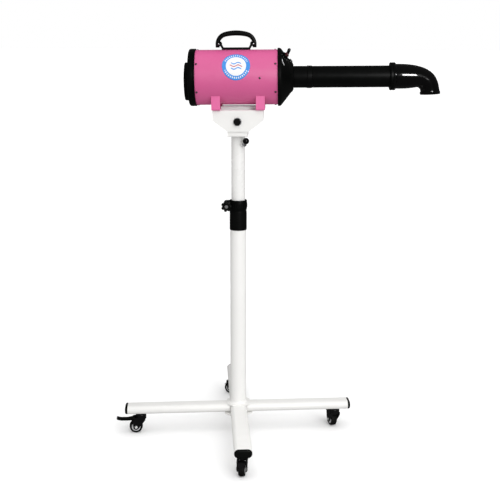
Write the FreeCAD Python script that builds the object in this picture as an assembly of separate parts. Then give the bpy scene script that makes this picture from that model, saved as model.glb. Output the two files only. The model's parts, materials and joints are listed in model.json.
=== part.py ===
import FreeCAD, Part
import math
import os
from FreeCAD import Placement, Rotation, Vector

# Stand blower dryer. Millimetres, +Z up, origin on the floor on the pole's axis.
# The nozzle points along +X and the side with the label faces -Y.

X_AXIS, Y_AXIS, Z_AXIS = Vector(1, 0, 0), Vector(0, 1, 0), Vector(0, 0, 1)
RUN = 0.05                # radial clearance of a pin or tube that turns or slides
GAP = 0.3                 # space between faces of pieces that move past each other

# Base: four flat-oval legs on castors
LEG_END, LEG_WIDTH, LEG_HEIGHT, LEG_WALL = 337.0, 50.0, 25.0, 1.5
LEG_Z = 75.5
BASE_TURN = 4.6           # the leg cross stands turned this much under the nozzle
HUB_CORE, HUB_TOP, HUB_BOTTOM, HUB_PLATE = 25.0, 35.0, 42.0, 3.0
HUB_BOLT_AT, HUB_BOLT_R = 35.0, 3.0
CAP_DOME, CAP_PLUG = 8.0, 12.0

# Castors: where each stands on the cross, and which way its wheel trails
CASTOR_AT, TRAIL = 298.0, 15.0
WHEEL_R, WHEEL_W, HUB_R, AXLE_R, STEM_R = 20.0, 18.0, 13.0, 3.0, 5.0
CASTORS = {
    "left": (180.0, 188.0),
    "right": (0.0, 112.0),
    "front": (270.0, 266.0),
    "back": (90.0, 165.0),
}
BRAKED = ("left", "right")
FORK_TOP, FORK_LOW, CHEEK_IN, CHEEK_OUT = 59.7, 44.0, 11.0, 14.0
PEDAL_X, PEDAL_Z, PEDAL_TIP = 22.5, 44.5, 74.0

# Telescopic pole
POLE_R, POLE_WALL, POLE_TOP = 23.8, 1.5, 690.0
MAST_R, MAST_WALL, MAST_LOW, MAST_TOP = 20.0, 1.5, 330.0, 909.7
COLLAR_LOW, COLLAR_TOP, SLEEVE_R, CLAMP_R = 629.5, 719.0, 25.4, 26.6
KNOB_X, KNOB_Z, KNOB_R, KNOB_Y = -33.0, 704.5, 16.0, (-44.0, -28.0)
KNOB_LOBES, CLAMP_EAR_Y, STUD_R = 7, 11.5, 3.0
LEVER_TURN, LEVER_Z = -52.0, 886.0
LEVER_BOSS, LEVER_BALL_R = 27.0, 9.5

# Swivel and tilt
FORK_BASE, FORK_THICK, FORK_OUT, FORK_HALF = 910.0, 4.0, 46.0, 29.0
PIVOT_Z, PIVOT_R, LUG_R, PIVOT_HEX = 954.0, 6.0, 22.0, 19.0
HEAD_TILT = -0.7          # the blower is built level, then tipped this much about the pivot
BRACKET_TOP, BRACKET_X, BRACKET_OUT, SHEET = 987.0, (-71.6, 75.2), 50.0, 3.0
BRACKET_SHOULDER, BRACKET_LOW, BRACKET_LOW_HALF = 957.0, 925.0, 31.0

# Blower
HEAD_Z = 1079.0
SHELL_X, SHELL_R, SHELL_WALL = (-119.0, 116.3), 79.0, 1.2
SPIGOT_R, SPIGOT_LONG = 77.6, 13.0
SCREW_ROWS, SCREW_ANGLES = (-114.0, 109.8), range(30, 390, 60)
SCREW_HEAD_R, SCREW_HEAD_HIGH = 3.0, 1.8
FRAME_SCREW_X = 65.5
FEET_X, FOOT_WIDE, FOOT_HALF, RAIL_TOP = (-61.0, 66.4), 25.4, 60.0, 997.0
REAR_X, REAR_R = -139.6, 82.4
INTAKE_DROP, INTAKE_R, COVER_R, COVER_X = 11.2, 44.0, 54.7, -151.8
RIM_R, CONE_X, CONE_R, CONE_INSIDE = 83.6, (127.0, 157.0), (81.8, 43.0), (123.5, 152.5)
SLEEVE_X, SLEEVE_TUBE_R, RING_R, RING_X = (162.0, 215.5), 31.4, 32.6, 201.5
TUBE_R, TUBE_BORE, FLANGE_R = 31.2, 29.0, 40.0
FLANGE_X = (441.0, 447.8, 448.1, 456.0)
HANDLE_MID, HANDLE_PIVOT_Z, STRAP_TOP = -3.1, 1174.5, 1164.6
LABEL_X, LABEL_ANGLE, LABEL_R = -1.2, 25.8, 40.2
GLAND_X, GLAND_BORE = 92.0, 4.0


# ---------------------------------------------------------------- helpers

def cyl(radius, base, direction, length):
    return Part.makeCylinder(radius, length, Vector(*base), Vector(*direction))


def pipe(outer, inner, base, direction, length):
    return cyl(outer, base, direction, length).cut(cyl(inner, base, direction, length))


def box(x, y, z):
    """A box from its (low, high) pairs."""
    return Part.makeBox(x[1] - x[0], y[1] - y[0], z[1] - z[0], Vector(x[0], y[0], z[0]))


def prism_y(outline, y):
    """An outline of (x, z) points, extruded from y[0] to y[1]."""
    points = [Vector(px, y[0], pz) for px, pz in outline]
    face = Part.Face(Part.makePolygon(points + points[:1]))
    return face.extrude(Vector(0, y[1] - y[0], 0))


def turned_x(profile, centre_z=HEAD_Z):
    """A closed profile of (x, radius) points, turned about an axis along X."""
    points = [Vector(px, 0, pr) for px, pr in profile]
    face = Part.Face(Part.makePolygon(points + points[:1]))
    solid = face.revolve(Vector(0, 0, 0), X_AXIS, 360)
    solid.translate(Vector(0, 0, centre_z))
    return solid


def turned_z(profile):
    """A closed profile of (radius, z) points, turned about the pole's axis."""
    points = [Vector(pr, 0, pz) for pr, pz in profile]
    face = Part.Face(Part.makePolygon(points + points[:1]))
    return face.revolve(Vector(0, 0, 0), Z_AXIS, 360)


def hexagon(across, base, direction, height):
    """A hexagonal prism standing on base along direction."""
    corner = across / math.sqrt(3)
    points = [Vector(corner * math.cos(a), corner * math.sin(a), 0)
              for a in (math.radians(60 * i) for i in range(6))]
    solid = Part.Face(Part.makePolygon(points + points[:1])).extrude(Vector(0, 0, height))
    solid.Placement = Placement(Vector(*base), Rotation(Z_AXIS, Vector(*direction)))
    return solid


def rounded(shape, radius, wanted):
    """The shape with a fillet on every edge whose centre the test accepts."""
    edges = [e for e in shape.Edges if wanted(e.CenterOfMass, e)]
    return shape.makeFillet(radius, edges)


def fused(first, *others):
    shape = first
    for other in others:
        shape = shape.fuse(other)
    return shape.removeSplitter()


def spun(shape, degrees, centre=(0, 0, 0), axis=Z_AXIS):
    copy = shape.copy()
    copy.rotate(Vector(*centre), axis, degrees)
    return copy


def radial(angle):
    """Unit vector across the blower's axis: 0 faces the label side, 90 is up."""
    a = math.radians(angle)
    return Vector(0, -math.cos(a), math.sin(a))


def on_head(x, angle, radius):
    return Vector(x, 0, HEAD_Z) + radial(angle) * radius


# ---------------------------------------------------------------- base

def flat_oval(width, height, x, length):
    """A bar of flat-oval section lying along X at leg height."""
    r = height / 2
    s = width / 2 - r
    corners = [Vector(x, -s, r), Vector(x, s, r), Vector(x, s, -r), Vector(x, -s, -r)]
    edges = [
        Part.LineSegment(corners[0], corners[1]).toShape(),
        Part.Arc(corners[1], Vector(x, s + r, 0), corners[2]).toShape(),
        Part.LineSegment(corners[2], corners[3]).toShape(),
        Part.Arc(corners[3], Vector(x, -s - r, 0), corners[0]).toShape(),
    ]
    bar = Part.Face(Part.Wire(edges)).extrude(Vector(length, 0, 0))
    bar.translate(Vector(0, 0, LEG_Z))
    return bar


def leg():
    start = HUB_CORE + 0.5
    length = LEG_END - start
    outer = flat_oval(LEG_WIDTH, LEG_HEIGHT, start, length)
    inner = flat_oval(LEG_WIDTH - 2 * LEG_WALL, LEG_HEIGHT - 2 * LEG_WALL, start, length)
    stem_hole = cyl(STEM_R + 0.2, (CASTOR_AT, 0, LEG_Z - LEG_HEIGHT), (0, 0, 1), LEG_HEIGHT)
    bolt_hole = cyl(HUB_BOLT_R + 0.2, (HUB_BOLT_AT, 0, LEG_Z - LEG_HEIGHT), (0, 0, 1), LEG_HEIGHT)
    return outer.cut(inner).cut(stem_hole).cut(bolt_hole)


def end_cap():
    dome = flat_oval(LEG_WIDTH, LEG_HEIGHT, LEG_END, CAP_DOME)
    far = LEG_END + CAP_DOME
    dome = rounded(dome, 5.0, lambda c, e: c.x > far - 0.1)
    plug = flat_oval(LEG_WIDTH - 2 * LEG_WALL - 0.4, LEG_HEIGHT - 2 * LEG_WALL - 0.4,
                     LEG_END - CAP_PLUG, CAP_PLUG + 1)
    return fused(dome, plug)


def cut_square(half, corner, low, high):
    """A square plate with its corners cut off."""
    points = []
    for quarter in range(4):
        for px, py in ((half, -corner), (half, corner)):
            a = math.radians(90 * quarter)
            points.append(Vector(px * math.cos(a) - py * math.sin(a),
                                 px * math.sin(a) + py * math.cos(a), low))
    return Part.Face(Part.makePolygon(points + points[:1])).extrude(Vector(0, 0, high - low))


def hub():
    low = LEG_Z - LEG_HEIGHT / 2
    high = LEG_Z + LEG_HEIGHT / 2
    top = cut_square(HUB_TOP, 19.0, high, high + HUB_PLATE)
    top = rounded(top, 1.2, lambda c, e: c.z > high + HUB_PLATE - 0.1)
    bottom = cut_square(HUB_BOTTOM, 24.0, low - HUB_PLATE, low)
    core = box((-HUB_CORE, HUB_CORE), (-HUB_CORE, HUB_CORE), (low, high))
    core = core.cut(box((-21, 21), (-21, 21), (low, high)))
    for turn in range(4):
        hole = cyl(HUB_BOLT_R + 0.2, (HUB_BOLT_AT, 0, low - 2 * HUB_PLATE), (0, 0, 1), 3 * HUB_PLATE)
        bottom = bottom.cut(spun(hole, 90 * turn))
    return fused(top, core, bottom)


def hub_bolt():
    """One leg bolt: its head under the lower plate, its end in a nut inside the leg."""
    under = LEG_Z - LEG_HEIGHT / 2 - HUB_PLATE
    shank = cyl(HUB_BOLT_R, (HUB_BOLT_AT, 0, under), (0, 0, 1), 12)
    head = hexagon(10, (HUB_BOLT_AT, 0, under - 4), (0, 0, 1), 4)
    return fused(shank, head)


def lower_pole():
    foot = LEG_Z + LEG_HEIGHT / 2 + HUB_PLATE
    return pipe(POLE_R, POLE_R - POLE_WALL, (0, 0, foot), (0, 0, 1), POLE_TOP - foot)


def pole_bush():
    """Plastic liner that guides the upper tube inside the lower pole."""
    return pipe(POLE_R - POLE_WALL - 0.02, MAST_R + RUN, (0, 0, POLE_TOP - 90), (0, 0, 1), 90)


def pole_collar():
    body = turned_z([
        (POLE_R + 0.02, COLLAR_LOW), (SLEEVE_R - 1.2, COLLAR_LOW), (SLEEVE_R, COLLAR_LOW + 1.5),
        (SLEEVE_R, 685.0), (24.7, 688.0), (CLAMP_R, 696.0), (CLAMP_R, 709.0), (25.6, COLLAR_TOP - 1),
        (24.6, COLLAR_TOP), (MAST_R + RUN, COLLAR_TOP), (MAST_R + RUN, POLE_TOP + 0.1),
        (POLE_R + 0.02, POLE_TOP + 0.1),
    ])
    ears = box((KNOB_X - 11, -15), (-CLAMP_EAR_Y, 11), (KNOB_Z - 12, KNOB_Z + 12))
    ears = rounded(ears, 7.0, lambda c, e: c.x < KNOB_X - 10.9 and abs(c.y) < 1 and e.Length > 20)
    ears = ears.cut(cyl(MAST_R + RUN, (0, 0, POLE_TOP), (0, 0, 1), 40))
    ears = ears.cut(cyl(POLE_R + 1, (0, 0, POLE_TOP - 40), (0, 0, 1), 40))
    slit = box((KNOB_X - 12, -MAST_R + 3), (-1.5, 1.5), (POLE_TOP + 1, COLLAR_TOP + 1))
    screw_hole = cyl(STUD_R + RUN, (KNOB_X, -20, KNOB_Z), (0, 1, 0), 40)
    return fused(body, ears).cut(slit).cut(screw_hole)


def clamp_nut():
    nut = hexagon(10, (KNOB_X, 11.05, KNOB_Z), (0, 1, 0), 6)
    return nut.cut(cyl(STUD_R + RUN, (KNOB_X, 0, KNOB_Z), (0, 1, 0), 30))


def height_knob():
    """Lobed clamp knob with its moulded-in stud."""
    near, far = KNOB_Y
    lobe_r = 4.8
    body = cyl(KNOB_R - 3.2, (KNOB_X, near, KNOB_Z), (0, 1, 0), far - near)
    for i in range(KNOB_LOBES):
        a = 2 * math.pi * i / KNOB_LOBES
        reach = KNOB_R - lobe_r
        at = (KNOB_X + reach * math.cos(a), near, KNOB_Z + reach * math.sin(a))
        body = body.fuse(cyl(lobe_r, at, (0, 1, 0), far - near))
    body = body.removeSplitter()
    body = rounded(body, 1.5, lambda c, e: abs(c.y - near) < 0.01)
    neck = cyl(6.5, (KNOB_X, near + 5, KNOB_Z), (0, 1, 0), -CLAMP_EAR_Y - GAP - near - 5)
    stud = cyl(STUD_R, (KNOB_X, near + 5, KNOB_Z), (0, 1, 0), 20 - near - 5)
    return fused(body, neck, stud)


# ---------------------------------------------------------------- castors
# Each castor is made with its swivel on the Z axis and its wheel trailing along +X.

def castor_stem():
    stem = cyl(STEM_R, (0, 0, FORK_LOW - 0.6), (0, 0, 1), 84 - FORK_LOW + 0.6)
    rivet = cyl(7.5, (0, 0, FORK_LOW - 2.8), (0, 0, 1), 2.5)
    flange = hexagon(17, (0, 0, FORK_TOP + GAP), (0, 0, 1), LEG_Z - LEG_HEIGHT / 2 - FORK_TOP - GAP)
    return fused(stem, rivet, flange)


def castor_fork(braked):
    head = cyl(16, (0, 0, FORK_LOW), (0, 0, 1), FORK_TOP - FORK_LOW)
    head = rounded(head, 3.5, lambda c, e: c.z > FORK_TOP - 0.1)
    bridge = box((-13, 14), (-CHEEK_OUT, CHEEK_OUT), (FORK_LOW, FORK_LOW + 5))
    outline = [(-13, 49), (23, 49), (26.5, 46), (26.5, 41), (23.2, 21), (6.8, 17), (-13, 41)]
    solid = fused(head, bridge)
    for side in (-1, 1):
        faces = sorted((side * CHEEK_IN, side * CHEEK_OUT))
        cheek = prism_y(outline, faces)
        boss = cyl(8.5, (TRAIL, faces[0], WHEEL_R), (0, 1, 0), faces[1] - faces[0])
        solid = fused(solid, cheek, boss)
    solid = solid.cut(cyl(STEM_R + RUN, (0, 0, 30), (0, 0, 1), 40))
    solid = solid.cut(cyl(AXLE_R + RUN, (TRAIL, -20, WHEEL_R), (0, 1, 0), 40))
    if braked:
        solid = solid.cut(cyl(2.0 + RUN, (PEDAL_X, -20, PEDAL_Z), (0, 1, 0), 40))
    return solid


def castor_axle():
    """The wheel's riveted axle, fixed in the fork."""
    pin = cyl(AXLE_R, (TRAIL, -CHEEK_OUT - 1, WHEEL_R), (0, 1, 0), 2 * CHEEK_OUT + 2)
    heads = [cyl(5.2, (TRAIL, y, WHEEL_R), (0, 1, 0), 1.8) for y in (-CHEEK_OUT - 1.85, CHEEK_OUT + 0.05)]
    return fused(pin, *heads)


def wheel_hub():
    hub_part = cyl(HUB_R, (TRAIL, -WHEEL_W / 2 + 1, WHEEL_R), (0, 1, 0), WHEEL_W - 2)
    bosses = cyl(6, (TRAIL, -CHEEK_IN + 0.5, WHEEL_R), (0, 1, 0), 2 * CHEEK_IN - 1)
    for y in (-WHEEL_W / 2 + 1, WHEEL_W / 2 - 3):
        dish = pipe(HUB_R - 2, 7, (TRAIL, y, WHEEL_R), (0, 1, 0), 2)
        hub_part = hub_part.cut(dish)
    return fused(hub_part, bosses).cut(cyl(AXLE_R + RUN, (TRAIL, -20, WHEEL_R), (0, 1, 0), 40))


def tyre():
    ring = pipe(WHEEL_R, HUB_R, (TRAIL, -WHEEL_W / 2, WHEEL_R), (0, 1, 0), WHEEL_W)
    return rounded(ring, 3.5, lambda c, e: abs(e.Length - 2 * math.pi * WHEEL_R) < 0.5)


def brake_pedal():
    outline = [(PEDAL_X, PEDAL_Z - 3), (40, 40.8), (60, 41.5), (PEDAL_TIP - 2, 44.5), (PEDAL_TIP, 48),
               (PEDAL_TIP - 3, 49.5), (60, 46), (40, 45.3), (PEDAL_X, PEDAL_Z + 3.5)]
    plate = prism_y(outline, (-10.5, 10.5))
    root = cyl(3.8, (PEDAL_X, -10.5, PEDAL_Z), (0, 1, 0), 21)
    trunnion = cyl(2.0, (PEDAL_X, -CHEEK_OUT, PEDAL_Z), (0, 1, 0), 2 * CHEEK_OUT)
    return fused(plate, root, trunnion)


def placed_castor(shape, name):
    """Turns a castor piece to its trail direction and moves it under its leg."""
    leg_turn, trail_turn = CASTORS[name]
    copy = spun(shape, trail_turn)
    a = math.radians(leg_turn + BASE_TURN)
    copy.translate(Vector(CASTOR_AT * math.cos(a), CASTOR_AT * math.sin(a), 0))
    return copy


# ---------------------------------------------------------------- mast, swivel and tilt

def upper_tube():
    tube = pipe(MAST_R, MAST_R - MAST_WALL, (0, 0, MAST_LOW), (0, 0, 1), MAST_TOP - MAST_LOW)
    boss = spun(hexagon(15, (MAST_R - 2, 0, LEVER_Z), (1, 0, 0), LEVER_BOSS - MAST_R + 2), LEVER_TURN)
    hole = spun(cyl(4.0 + RUN, (0, 0, LEVER_Z), (1, 0, 0), 40), LEVER_TURN)
    inside = cyl(MAST_R - MAST_WALL, (0, 0, LEVER_Z - 30), (0, 0, 1), 60)
    return fused(tube, boss).cut(inside).cut(hole)


def ball_lever():
    """Swivel lock: screw, hub, short cranked arm and ball."""
    screw = cyl(4.0, (MAST_R - 1, 0, LEVER_Z), (1, 0, 0), 12)
    body = cyl(6.0, (LEVER_BOSS + GAP, 0, LEVER_Z), (1, 0, 0), 7.5)
    foot, ball_at = Vector(31, 0, LEVER_Z), Vector(38.5, 0, LEVER_Z + 10.5)
    arm = cyl(3.4, foot, ball_at - foot, (ball_at - foot).Length)
    ball = Part.makeSphere(LEVER_BALL_R, ball_at)
    return spun(fused(screw, body, arm, ball), LEVER_TURN)


def swivel_fork():
    """Spigot, base plate and two lugs that carry the tilt pivot."""
    spigot = cyl(MAST_R - MAST_WALL - RUN, (0, 0, 850), (0, 0, 1), FORK_BASE - 850 + 1)
    channel = box((-FORK_HALF, FORK_HALF), (-FORK_OUT, FORK_OUT), (FORK_BASE, FORK_BASE + 16))
    channel = rounded(channel, 3.5, lambda c, e: c.z < FORK_BASE + 0.1 and abs(c.y) > 40)
    inner = FORK_OUT - FORK_THICK
    gap = box((-FORK_HALF, FORK_HALF), (-inner, inner), (FORK_BASE + FORK_THICK, FORK_BASE + 20))
    channel = channel.cut(gap)
    top = FORK_BASE + 16
    outline = [(-FORK_HALF, top), (FORK_HALF, top), (LUG_R, PIVOT_Z), (-LUG_R, PIVOT_Z)]
    solid = fused(spigot, channel)
    for side in (-1, 1):
        faces = sorted((side * inner, side * FORK_OUT))
        lug = prism_y(outline, faces)
        head = cyl(LUG_R, (0, faces[0], PIVOT_Z), (0, 1, 0), FORK_THICK)
        solid = fused(solid, lug, head)
    return solid.cut(cyl(PIVOT_R + RUN, (0, -60, PIVOT_Z), (0, 1, 0), 120))


def pivot_bolt():
    shank = cyl(PIVOT_R, (0, -BRACKET_OUT - 2.2, PIVOT_Z), (0, 1, 0), 2 * BRACKET_OUT + 14)
    head = hexagon(PIVOT_HEX, (0, -BRACKET_OUT - 9, PIVOT_Z), (0, 1, 0), 6.8)
    head = rounded(head, 1.5, lambda c, e: c.y < -BRACKET_OUT - 8.9)
    return fused(shank, head)


def pivot_hardware():
    """Washers on both sides of the bracket and the lock nut behind it."""
    front = pipe(12.0, PIVOT_R + 0.1, (0, -BRACKET_OUT - 2, PIVOT_Z), (0, 1, 0), 1.6)
    back = pipe(12.0, PIVOT_R + 0.1, (0, BRACKET_OUT + 0.4, PIVOT_Z), (0, 1, 0), 1.6)
    nut = hexagon(PIVOT_HEX, (0, BRACKET_OUT + 2.2, PIVOT_Z), (0, 1, 0), 8)
    nut = nut.cut(cyl(PIVOT_R + 0.02, (0, 0, PIVOT_Z), (0, 1, 0), 80))
    return Part.makeCompound([front, back, nut])


def tilt_bracket():
    """Folded channel: a plate under the feet and two tapered side plates."""
    x0, x1 = BRACKET_X
    mid = (x0 + x1) / 2
    outline = [(x0, BRACKET_TOP), (x0, BRACKET_SHOULDER), (mid - BRACKET_LOW_HALF, BRACKET_LOW),
               (mid + BRACKET_LOW_HALF, BRACKET_LOW), (x1, BRACKET_SHOULDER), (x1, BRACKET_TOP)]
    block = prism_y(outline, (-BRACKET_OUT, BRACKET_OUT))
    block = rounded(block, 3.0, lambda c, e: c.z > BRACKET_TOP - 0.1 and abs(c.y) > 40)
    inner = BRACKET_OUT - SHEET
    block = block.cut(box((x0, x1), (-inner, inner), (BRACKET_LOW, BRACKET_TOP - SHEET)))
    block = rounded(block, 4.0, lambda c, e: abs(e.Length - SHEET) < 0.01 and c.z < BRACKET_TOP - 10)
    block = block.cut(cyl(PIVOT_R + RUN, (0, -60, PIVOT_Z), (0, 1, 0), 120))
    for px, py in bolt_places():
        block = block.cut(cyl(3.2, (px, py, BRACKET_TOP - 10), (0, 0, 1), 20))
    return block


def bolt_places():
    return [(x, y) for x in FEET_X for y in (-34, 34)]


def mounting_rail():
    """Zinc-plated steel channel that ties the two feet together under the housing."""
    rail = box((FEET_X[0] + FOOT_WIDE / 2, FEET_X[1] - FOOT_WIDE / 2), (-22, 22), (BRACKET_TOP, RAIL_TOP))
    rail = rounded(rail, 2.5, lambda c, e: c.z > RAIL_TOP - 0.1 and abs(c.y) > 20)
    return rail.cut(box((-100, 100), (-19.5, 19.5), (BRACKET_TOP, RAIL_TOP - 2.5)))


def saddle_foot(x):
    """A U-shaped steel strap, cut to the housing's curve."""
    half = FOOT_WIDE / 2
    block = box((x - half, x + half), (-FOOT_HALF, FOOT_HALF), (BRACKET_TOP, HEAD_Z - 40))
    block = rounded(block, 4.0, lambda c, e: c.z < BRACKET_TOP + 0.1 and abs(c.y) > FOOT_HALF - 1)
    inner = FOOT_HALF - SHEET
    block = block.cut(box((x - half, x + half), (-inner, inner), (BRACKET_TOP + SHEET, HEAD_Z)))
    block = block.cut(cyl(SHELL_R + 0.02, (x - half, 0, HEAD_Z), (1, 0, 0), FOOT_WIDE))
    for px, py in bolt_places():
        block = block.cut(cyl(3.2, (px, py, BRACKET_TOP - 5), (0, 0, 1), 20))
    return block


def foot_bolt(x, y):
    shank = cyl(3.0, (x, y, BRACKET_TOP - SHEET - 7), (0, 0, 1), 2 * SHEET + 7)
    head = hexagon(10, (x, y, BRACKET_TOP + SHEET), (0, 0, 1), 4)
    nut = hexagon(10, (x, y, BRACKET_TOP - SHEET - 5), (0, 0, 1), 5)
    return fused(shank, head, nut)


# ---------------------------------------------------------------- blower body

def shell_screws():
    """Where the housing's screws stand: (x, angle) pairs."""
    ends = [(x, a) for x in SCREW_ROWS for a in SCREW_ANGLES]
    return ends + [(FRAME_SCREW_X, a) for a in (0, 120, 240)]


def drill_screws(shape, radius, rows):
    for x, a in shell_screws():
        if x in rows:
            axis = radial(a)
            shape = shape.cut(cyl(radius, on_head(x, a, 60), axis, 40))
    return shape


def housing():
    x0, x1 = SHELL_X
    tube = pipe(SHELL_R, SHELL_R - SHELL_WALL, (x0, 0, HEAD_Z), (1, 0, 0), x1 - x0)
    tube = drill_screws(tube, 2.05, SCREW_ROWS + (FRAME_SCREW_X,))
    return tube.cut(cyl(8.0, (GLAND_X, 0, HEAD_Z), (0, 1, 0), 100))


def screw(x, angle):
    """A pan-head screw across the shell."""
    head = cyl(SCREW_HEAD_R, on_head(x, angle, SHELL_R + 0.1), radial(angle), SCREW_HEAD_HIGH)
    head = rounded(head, 1.0, lambda c, e: (c - Vector(x, 0, HEAD_Z)).Length > SHELL_R + SCREW_HEAD_HIGH)
    shank = cyl(2.0, on_head(x, angle, SHELL_R - 4.5), radial(angle), 5.0)
    return fused(shank, head)


def rear_cap():
    x0, far, lip = SHELL_X[0], REAR_X, SHELL_X[0] + SPIGOT_LONG
    cup = turned_x([(lip, SPIGOT_R), (x0, SPIGOT_R), (x0, REAR_R), (far, REAR_R), (far, 0),
                    (far + 3.5, 0), (far + 3.5, 73), (far + 8, 75), (lip, 75)])
    cup = rounded(cup, 9.0, lambda c, e: c.x < far + 0.1 and e.Length > 400)
    cup = rounded(cup, 1.0, lambda c, e: abs(c.x - x0) < 0.1 and e.Length > 2 * math.pi * (REAR_R - 0.5))
    cup = cup.cut(cyl(INTAKE_R, (far - 5, 0, HEAD_Z - INTAKE_DROP), (1, 0, 0), 20))
    return drill_screws(cup, 2.05, SCREW_ROWS[:1])


def intake_cover():
    """Push-in cover of the air intake: a slotted face, a rim and a neck."""
    near = REAR_X - GAP
    inner = COVER_R - 2.5
    cover = turned_x([(near, COVER_R), (COVER_X, COVER_R), (COVER_X, 0), (COVER_X + 2.5, 0),
                      (COVER_X + 2.5, inner), (near - 2.5, inner), (near - 2.5, INTAKE_R - 3),
                      (near + 9, INTAKE_R - 3), (near + 9, INTAKE_R - 0.4), (near, INTAKE_R - 0.4)],
                     HEAD_Z - INTAKE_DROP)
    cover = rounded(cover, 2.2, lambda c, e: c.x < COVER_X + 0.1 and e.Length > 300)
    for i in range(-4, 5):
        y = 9.0 * i
        half = math.sqrt(42.0 ** 2 - y ** 2)
        cover = cover.cut(box((COVER_X - 1, COVER_X + 4), (y - 2, y + 2),
                              (HEAD_Z - INTAKE_DROP - half, HEAD_Z - INTAKE_DROP + half)))
    return cover


def intake_filter():
    """Foam disc held inside the cover."""
    return cyl(COVER_R - 3, (COVER_X + 2.6, 0, HEAD_Z - INTAKE_DROP), (1, 0, 0), 6.5)


def cone_radius(x):
    slope = (CONE_R[1] - CONE_R[0]) / (CONE_X[1] - CONE_X[0])
    return CONE_R[0] + slope * (x - CONE_X[0])


def cone_seat(x, angle):
    """A point on the front cone and the outward direction there."""
    run, drop = CONE_X[1] - CONE_X[0], CONE_R[0] - CONE_R[1]
    long = math.hypot(run, drop)
    normal = Vector(drop / long, 0, 0) + radial(angle) * (run / long)
    return on_head(x, angle, cone_radius(x)), normal


KNOB_SEAT = cone_seat(136.5, 60.0)
TOGGLE_SEAT = cone_seat(141.5, 84.0)
TOGGLE_PIVOT, TOGGLE_LEAN, TOGGLE_LONG, TOGGLE_TIP_R = 4.0, -30.0, 13.5, 4.8
LAMP_SEAT = cone_seat(153.5, 76.0)


def standing(seat, radius, low, high):
    """A cylinder on a seat, from low to high along its direction."""
    at, normal = seat
    return cyl(radius, at + normal * low, normal, high - low)


def front_cap():
    x1 = SHELL_X[1]
    x2, x3 = CONE_INSIDE
    back = x1 - SPIGOT_LONG
    cap = turned_x([(back, SPIGOT_R), (x1, SPIGOT_R), (x1, RIM_R - 1), (x1 + 1, RIM_R), (x1 + 6.5, RIM_R),
                    (CONE_X[0], CONE_R[0]), (CONE_X[1], CONE_R[1]), (CONE_X[1] + 2.5, CONE_R[1] - 1.5),
                    (SLEEVE_X[0], CONE_R[1] - 7), (SLEEVE_X[0], TUBE_BORE + 0.3), (x3, TUBE_BORE + 0.3),
                    (x3, 43.5), (x2, 79.5), (x1 + 3, 79.5), (x1 - 2, 75), (back, 75)])
    inside = turned_x([(back, 0), (back, 74.9), (x1 - 2, 74.9), (x1 + 3, 79.4), (x2, 79.4), (x3 - 0.1, 43.4),
                       (x3 - 0.1, 0)])
    for seat, radius, high in ((KNOB_SEAT, 11.0, 1.4), (TOGGLE_SEAT, 7.0, 1.2), (LAMP_SEAT, 6.6, 1.0)):
        cap = cap.fuse(standing(seat, radius, -7, high).cut(inside))
    cap = cap.removeSplitter()
    cap = cap.cut(standing(KNOB_SEAT, 3.0 + RUN, -12, 5))
    cap = cap.cut(standing(TOGGLE_SEAT, 5.02, -12, 5))
    cap = cap.cut(standing(LAMP_SEAT, 4.02, -12, 5))
    return drill_screws(cap, 2.05, SCREW_ROWS[1:])


def speed_knob():
    skirt = rounded(standing(KNOB_SEAT, 9.5, 1.8, 6.5), 1.0, lambda c, e: on_top(c, KNOB_SEAT, 6.5))
    crown = rounded(standing(KNOB_SEAT, 6.6, 6.0, 11.0), 1.0, lambda c, e: on_top(c, KNOB_SEAT, 11.0))
    spindle = standing(KNOB_SEAT, 3.0, -8, 2)
    return fused(skirt, crown, spindle)


def on_top(point, seat, height):
    at, normal = seat
    return (point - at).dot(normal) > height - 0.1


def speed_control():
    """Speed regulator behind the knob."""
    return standing(KNOB_SEAT, 10.0, -20, -8.6)


def toggle_bush():
    """Threaded bush and switch body of the heat toggle."""
    bush = standing(TOGGLE_SEAT, 5.0, -8, TOGGLE_PIVOT)
    nut = standing(TOGGLE_SEAT, 6.8, 1.25, 3.2)
    body = standing(TOGGLE_SEAT, 7.5, -16, -5)
    at, normal = TOGGLE_SEAT
    pocket = Part.makeSphere(4.0, at + normal * TOGGLE_PIVOT)
    return fused(bush, nut, body).cut(pocket)


def toggle_lever():
    """Bat-shaped lever on its ball and pin, leaning up from the cone's normal."""
    at, normal = TOGGLE_SEAT
    pivot = at + normal * TOGGLE_PIVOT
    lean = Rotation(Y_AXIS, TOGGLE_LEAN).multVec(normal)
    stick = Part.makeCone(2.4, TOGGLE_TIP_R, TOGGLE_LONG, pivot, lean)
    tip = Part.makeSphere(TOGGLE_TIP_R, pivot + lean * TOGGLE_LONG)
    ball = Part.makeSphere(3.1, pivot)
    pin = cyl(1.0, pivot - Y_AXIS * 3.4, (0, 1, 0), 6.8)
    return fused(ball, pin, stick, tip)


def pilot_lamp():
    """Chrome bezel with its lens."""
    bezel = standing(LAMP_SEAT, 5.6, 1.05, 4.2)
    bezel = rounded(bezel, 1.2, lambda c, e: on_top(c, LAMP_SEAT, 4.2))
    stem = standing(LAMP_SEAT, 4.0, -8, 1.5)
    at, normal = LAMP_SEAT
    lens = Part.makeSphere(3.8, at + normal * 3.6)
    return fused(bezel, stem, lens)


def outlet_sleeve():
    x0, x1 = SLEEVE_X
    bore = TUBE_BORE - 1.8
    return turned_x([(x0 - 9, TUBE_BORE + 0.25), (x0, TUBE_BORE + 0.25), (x0, SLEEVE_TUBE_R),
                     (RING_X, SLEEVE_TUBE_R), (RING_X + 1.5, RING_R), (x1 - 1, RING_R), (x1, RING_R - 1),
                     (x1, bore), (x0 - 9, bore)])


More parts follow.
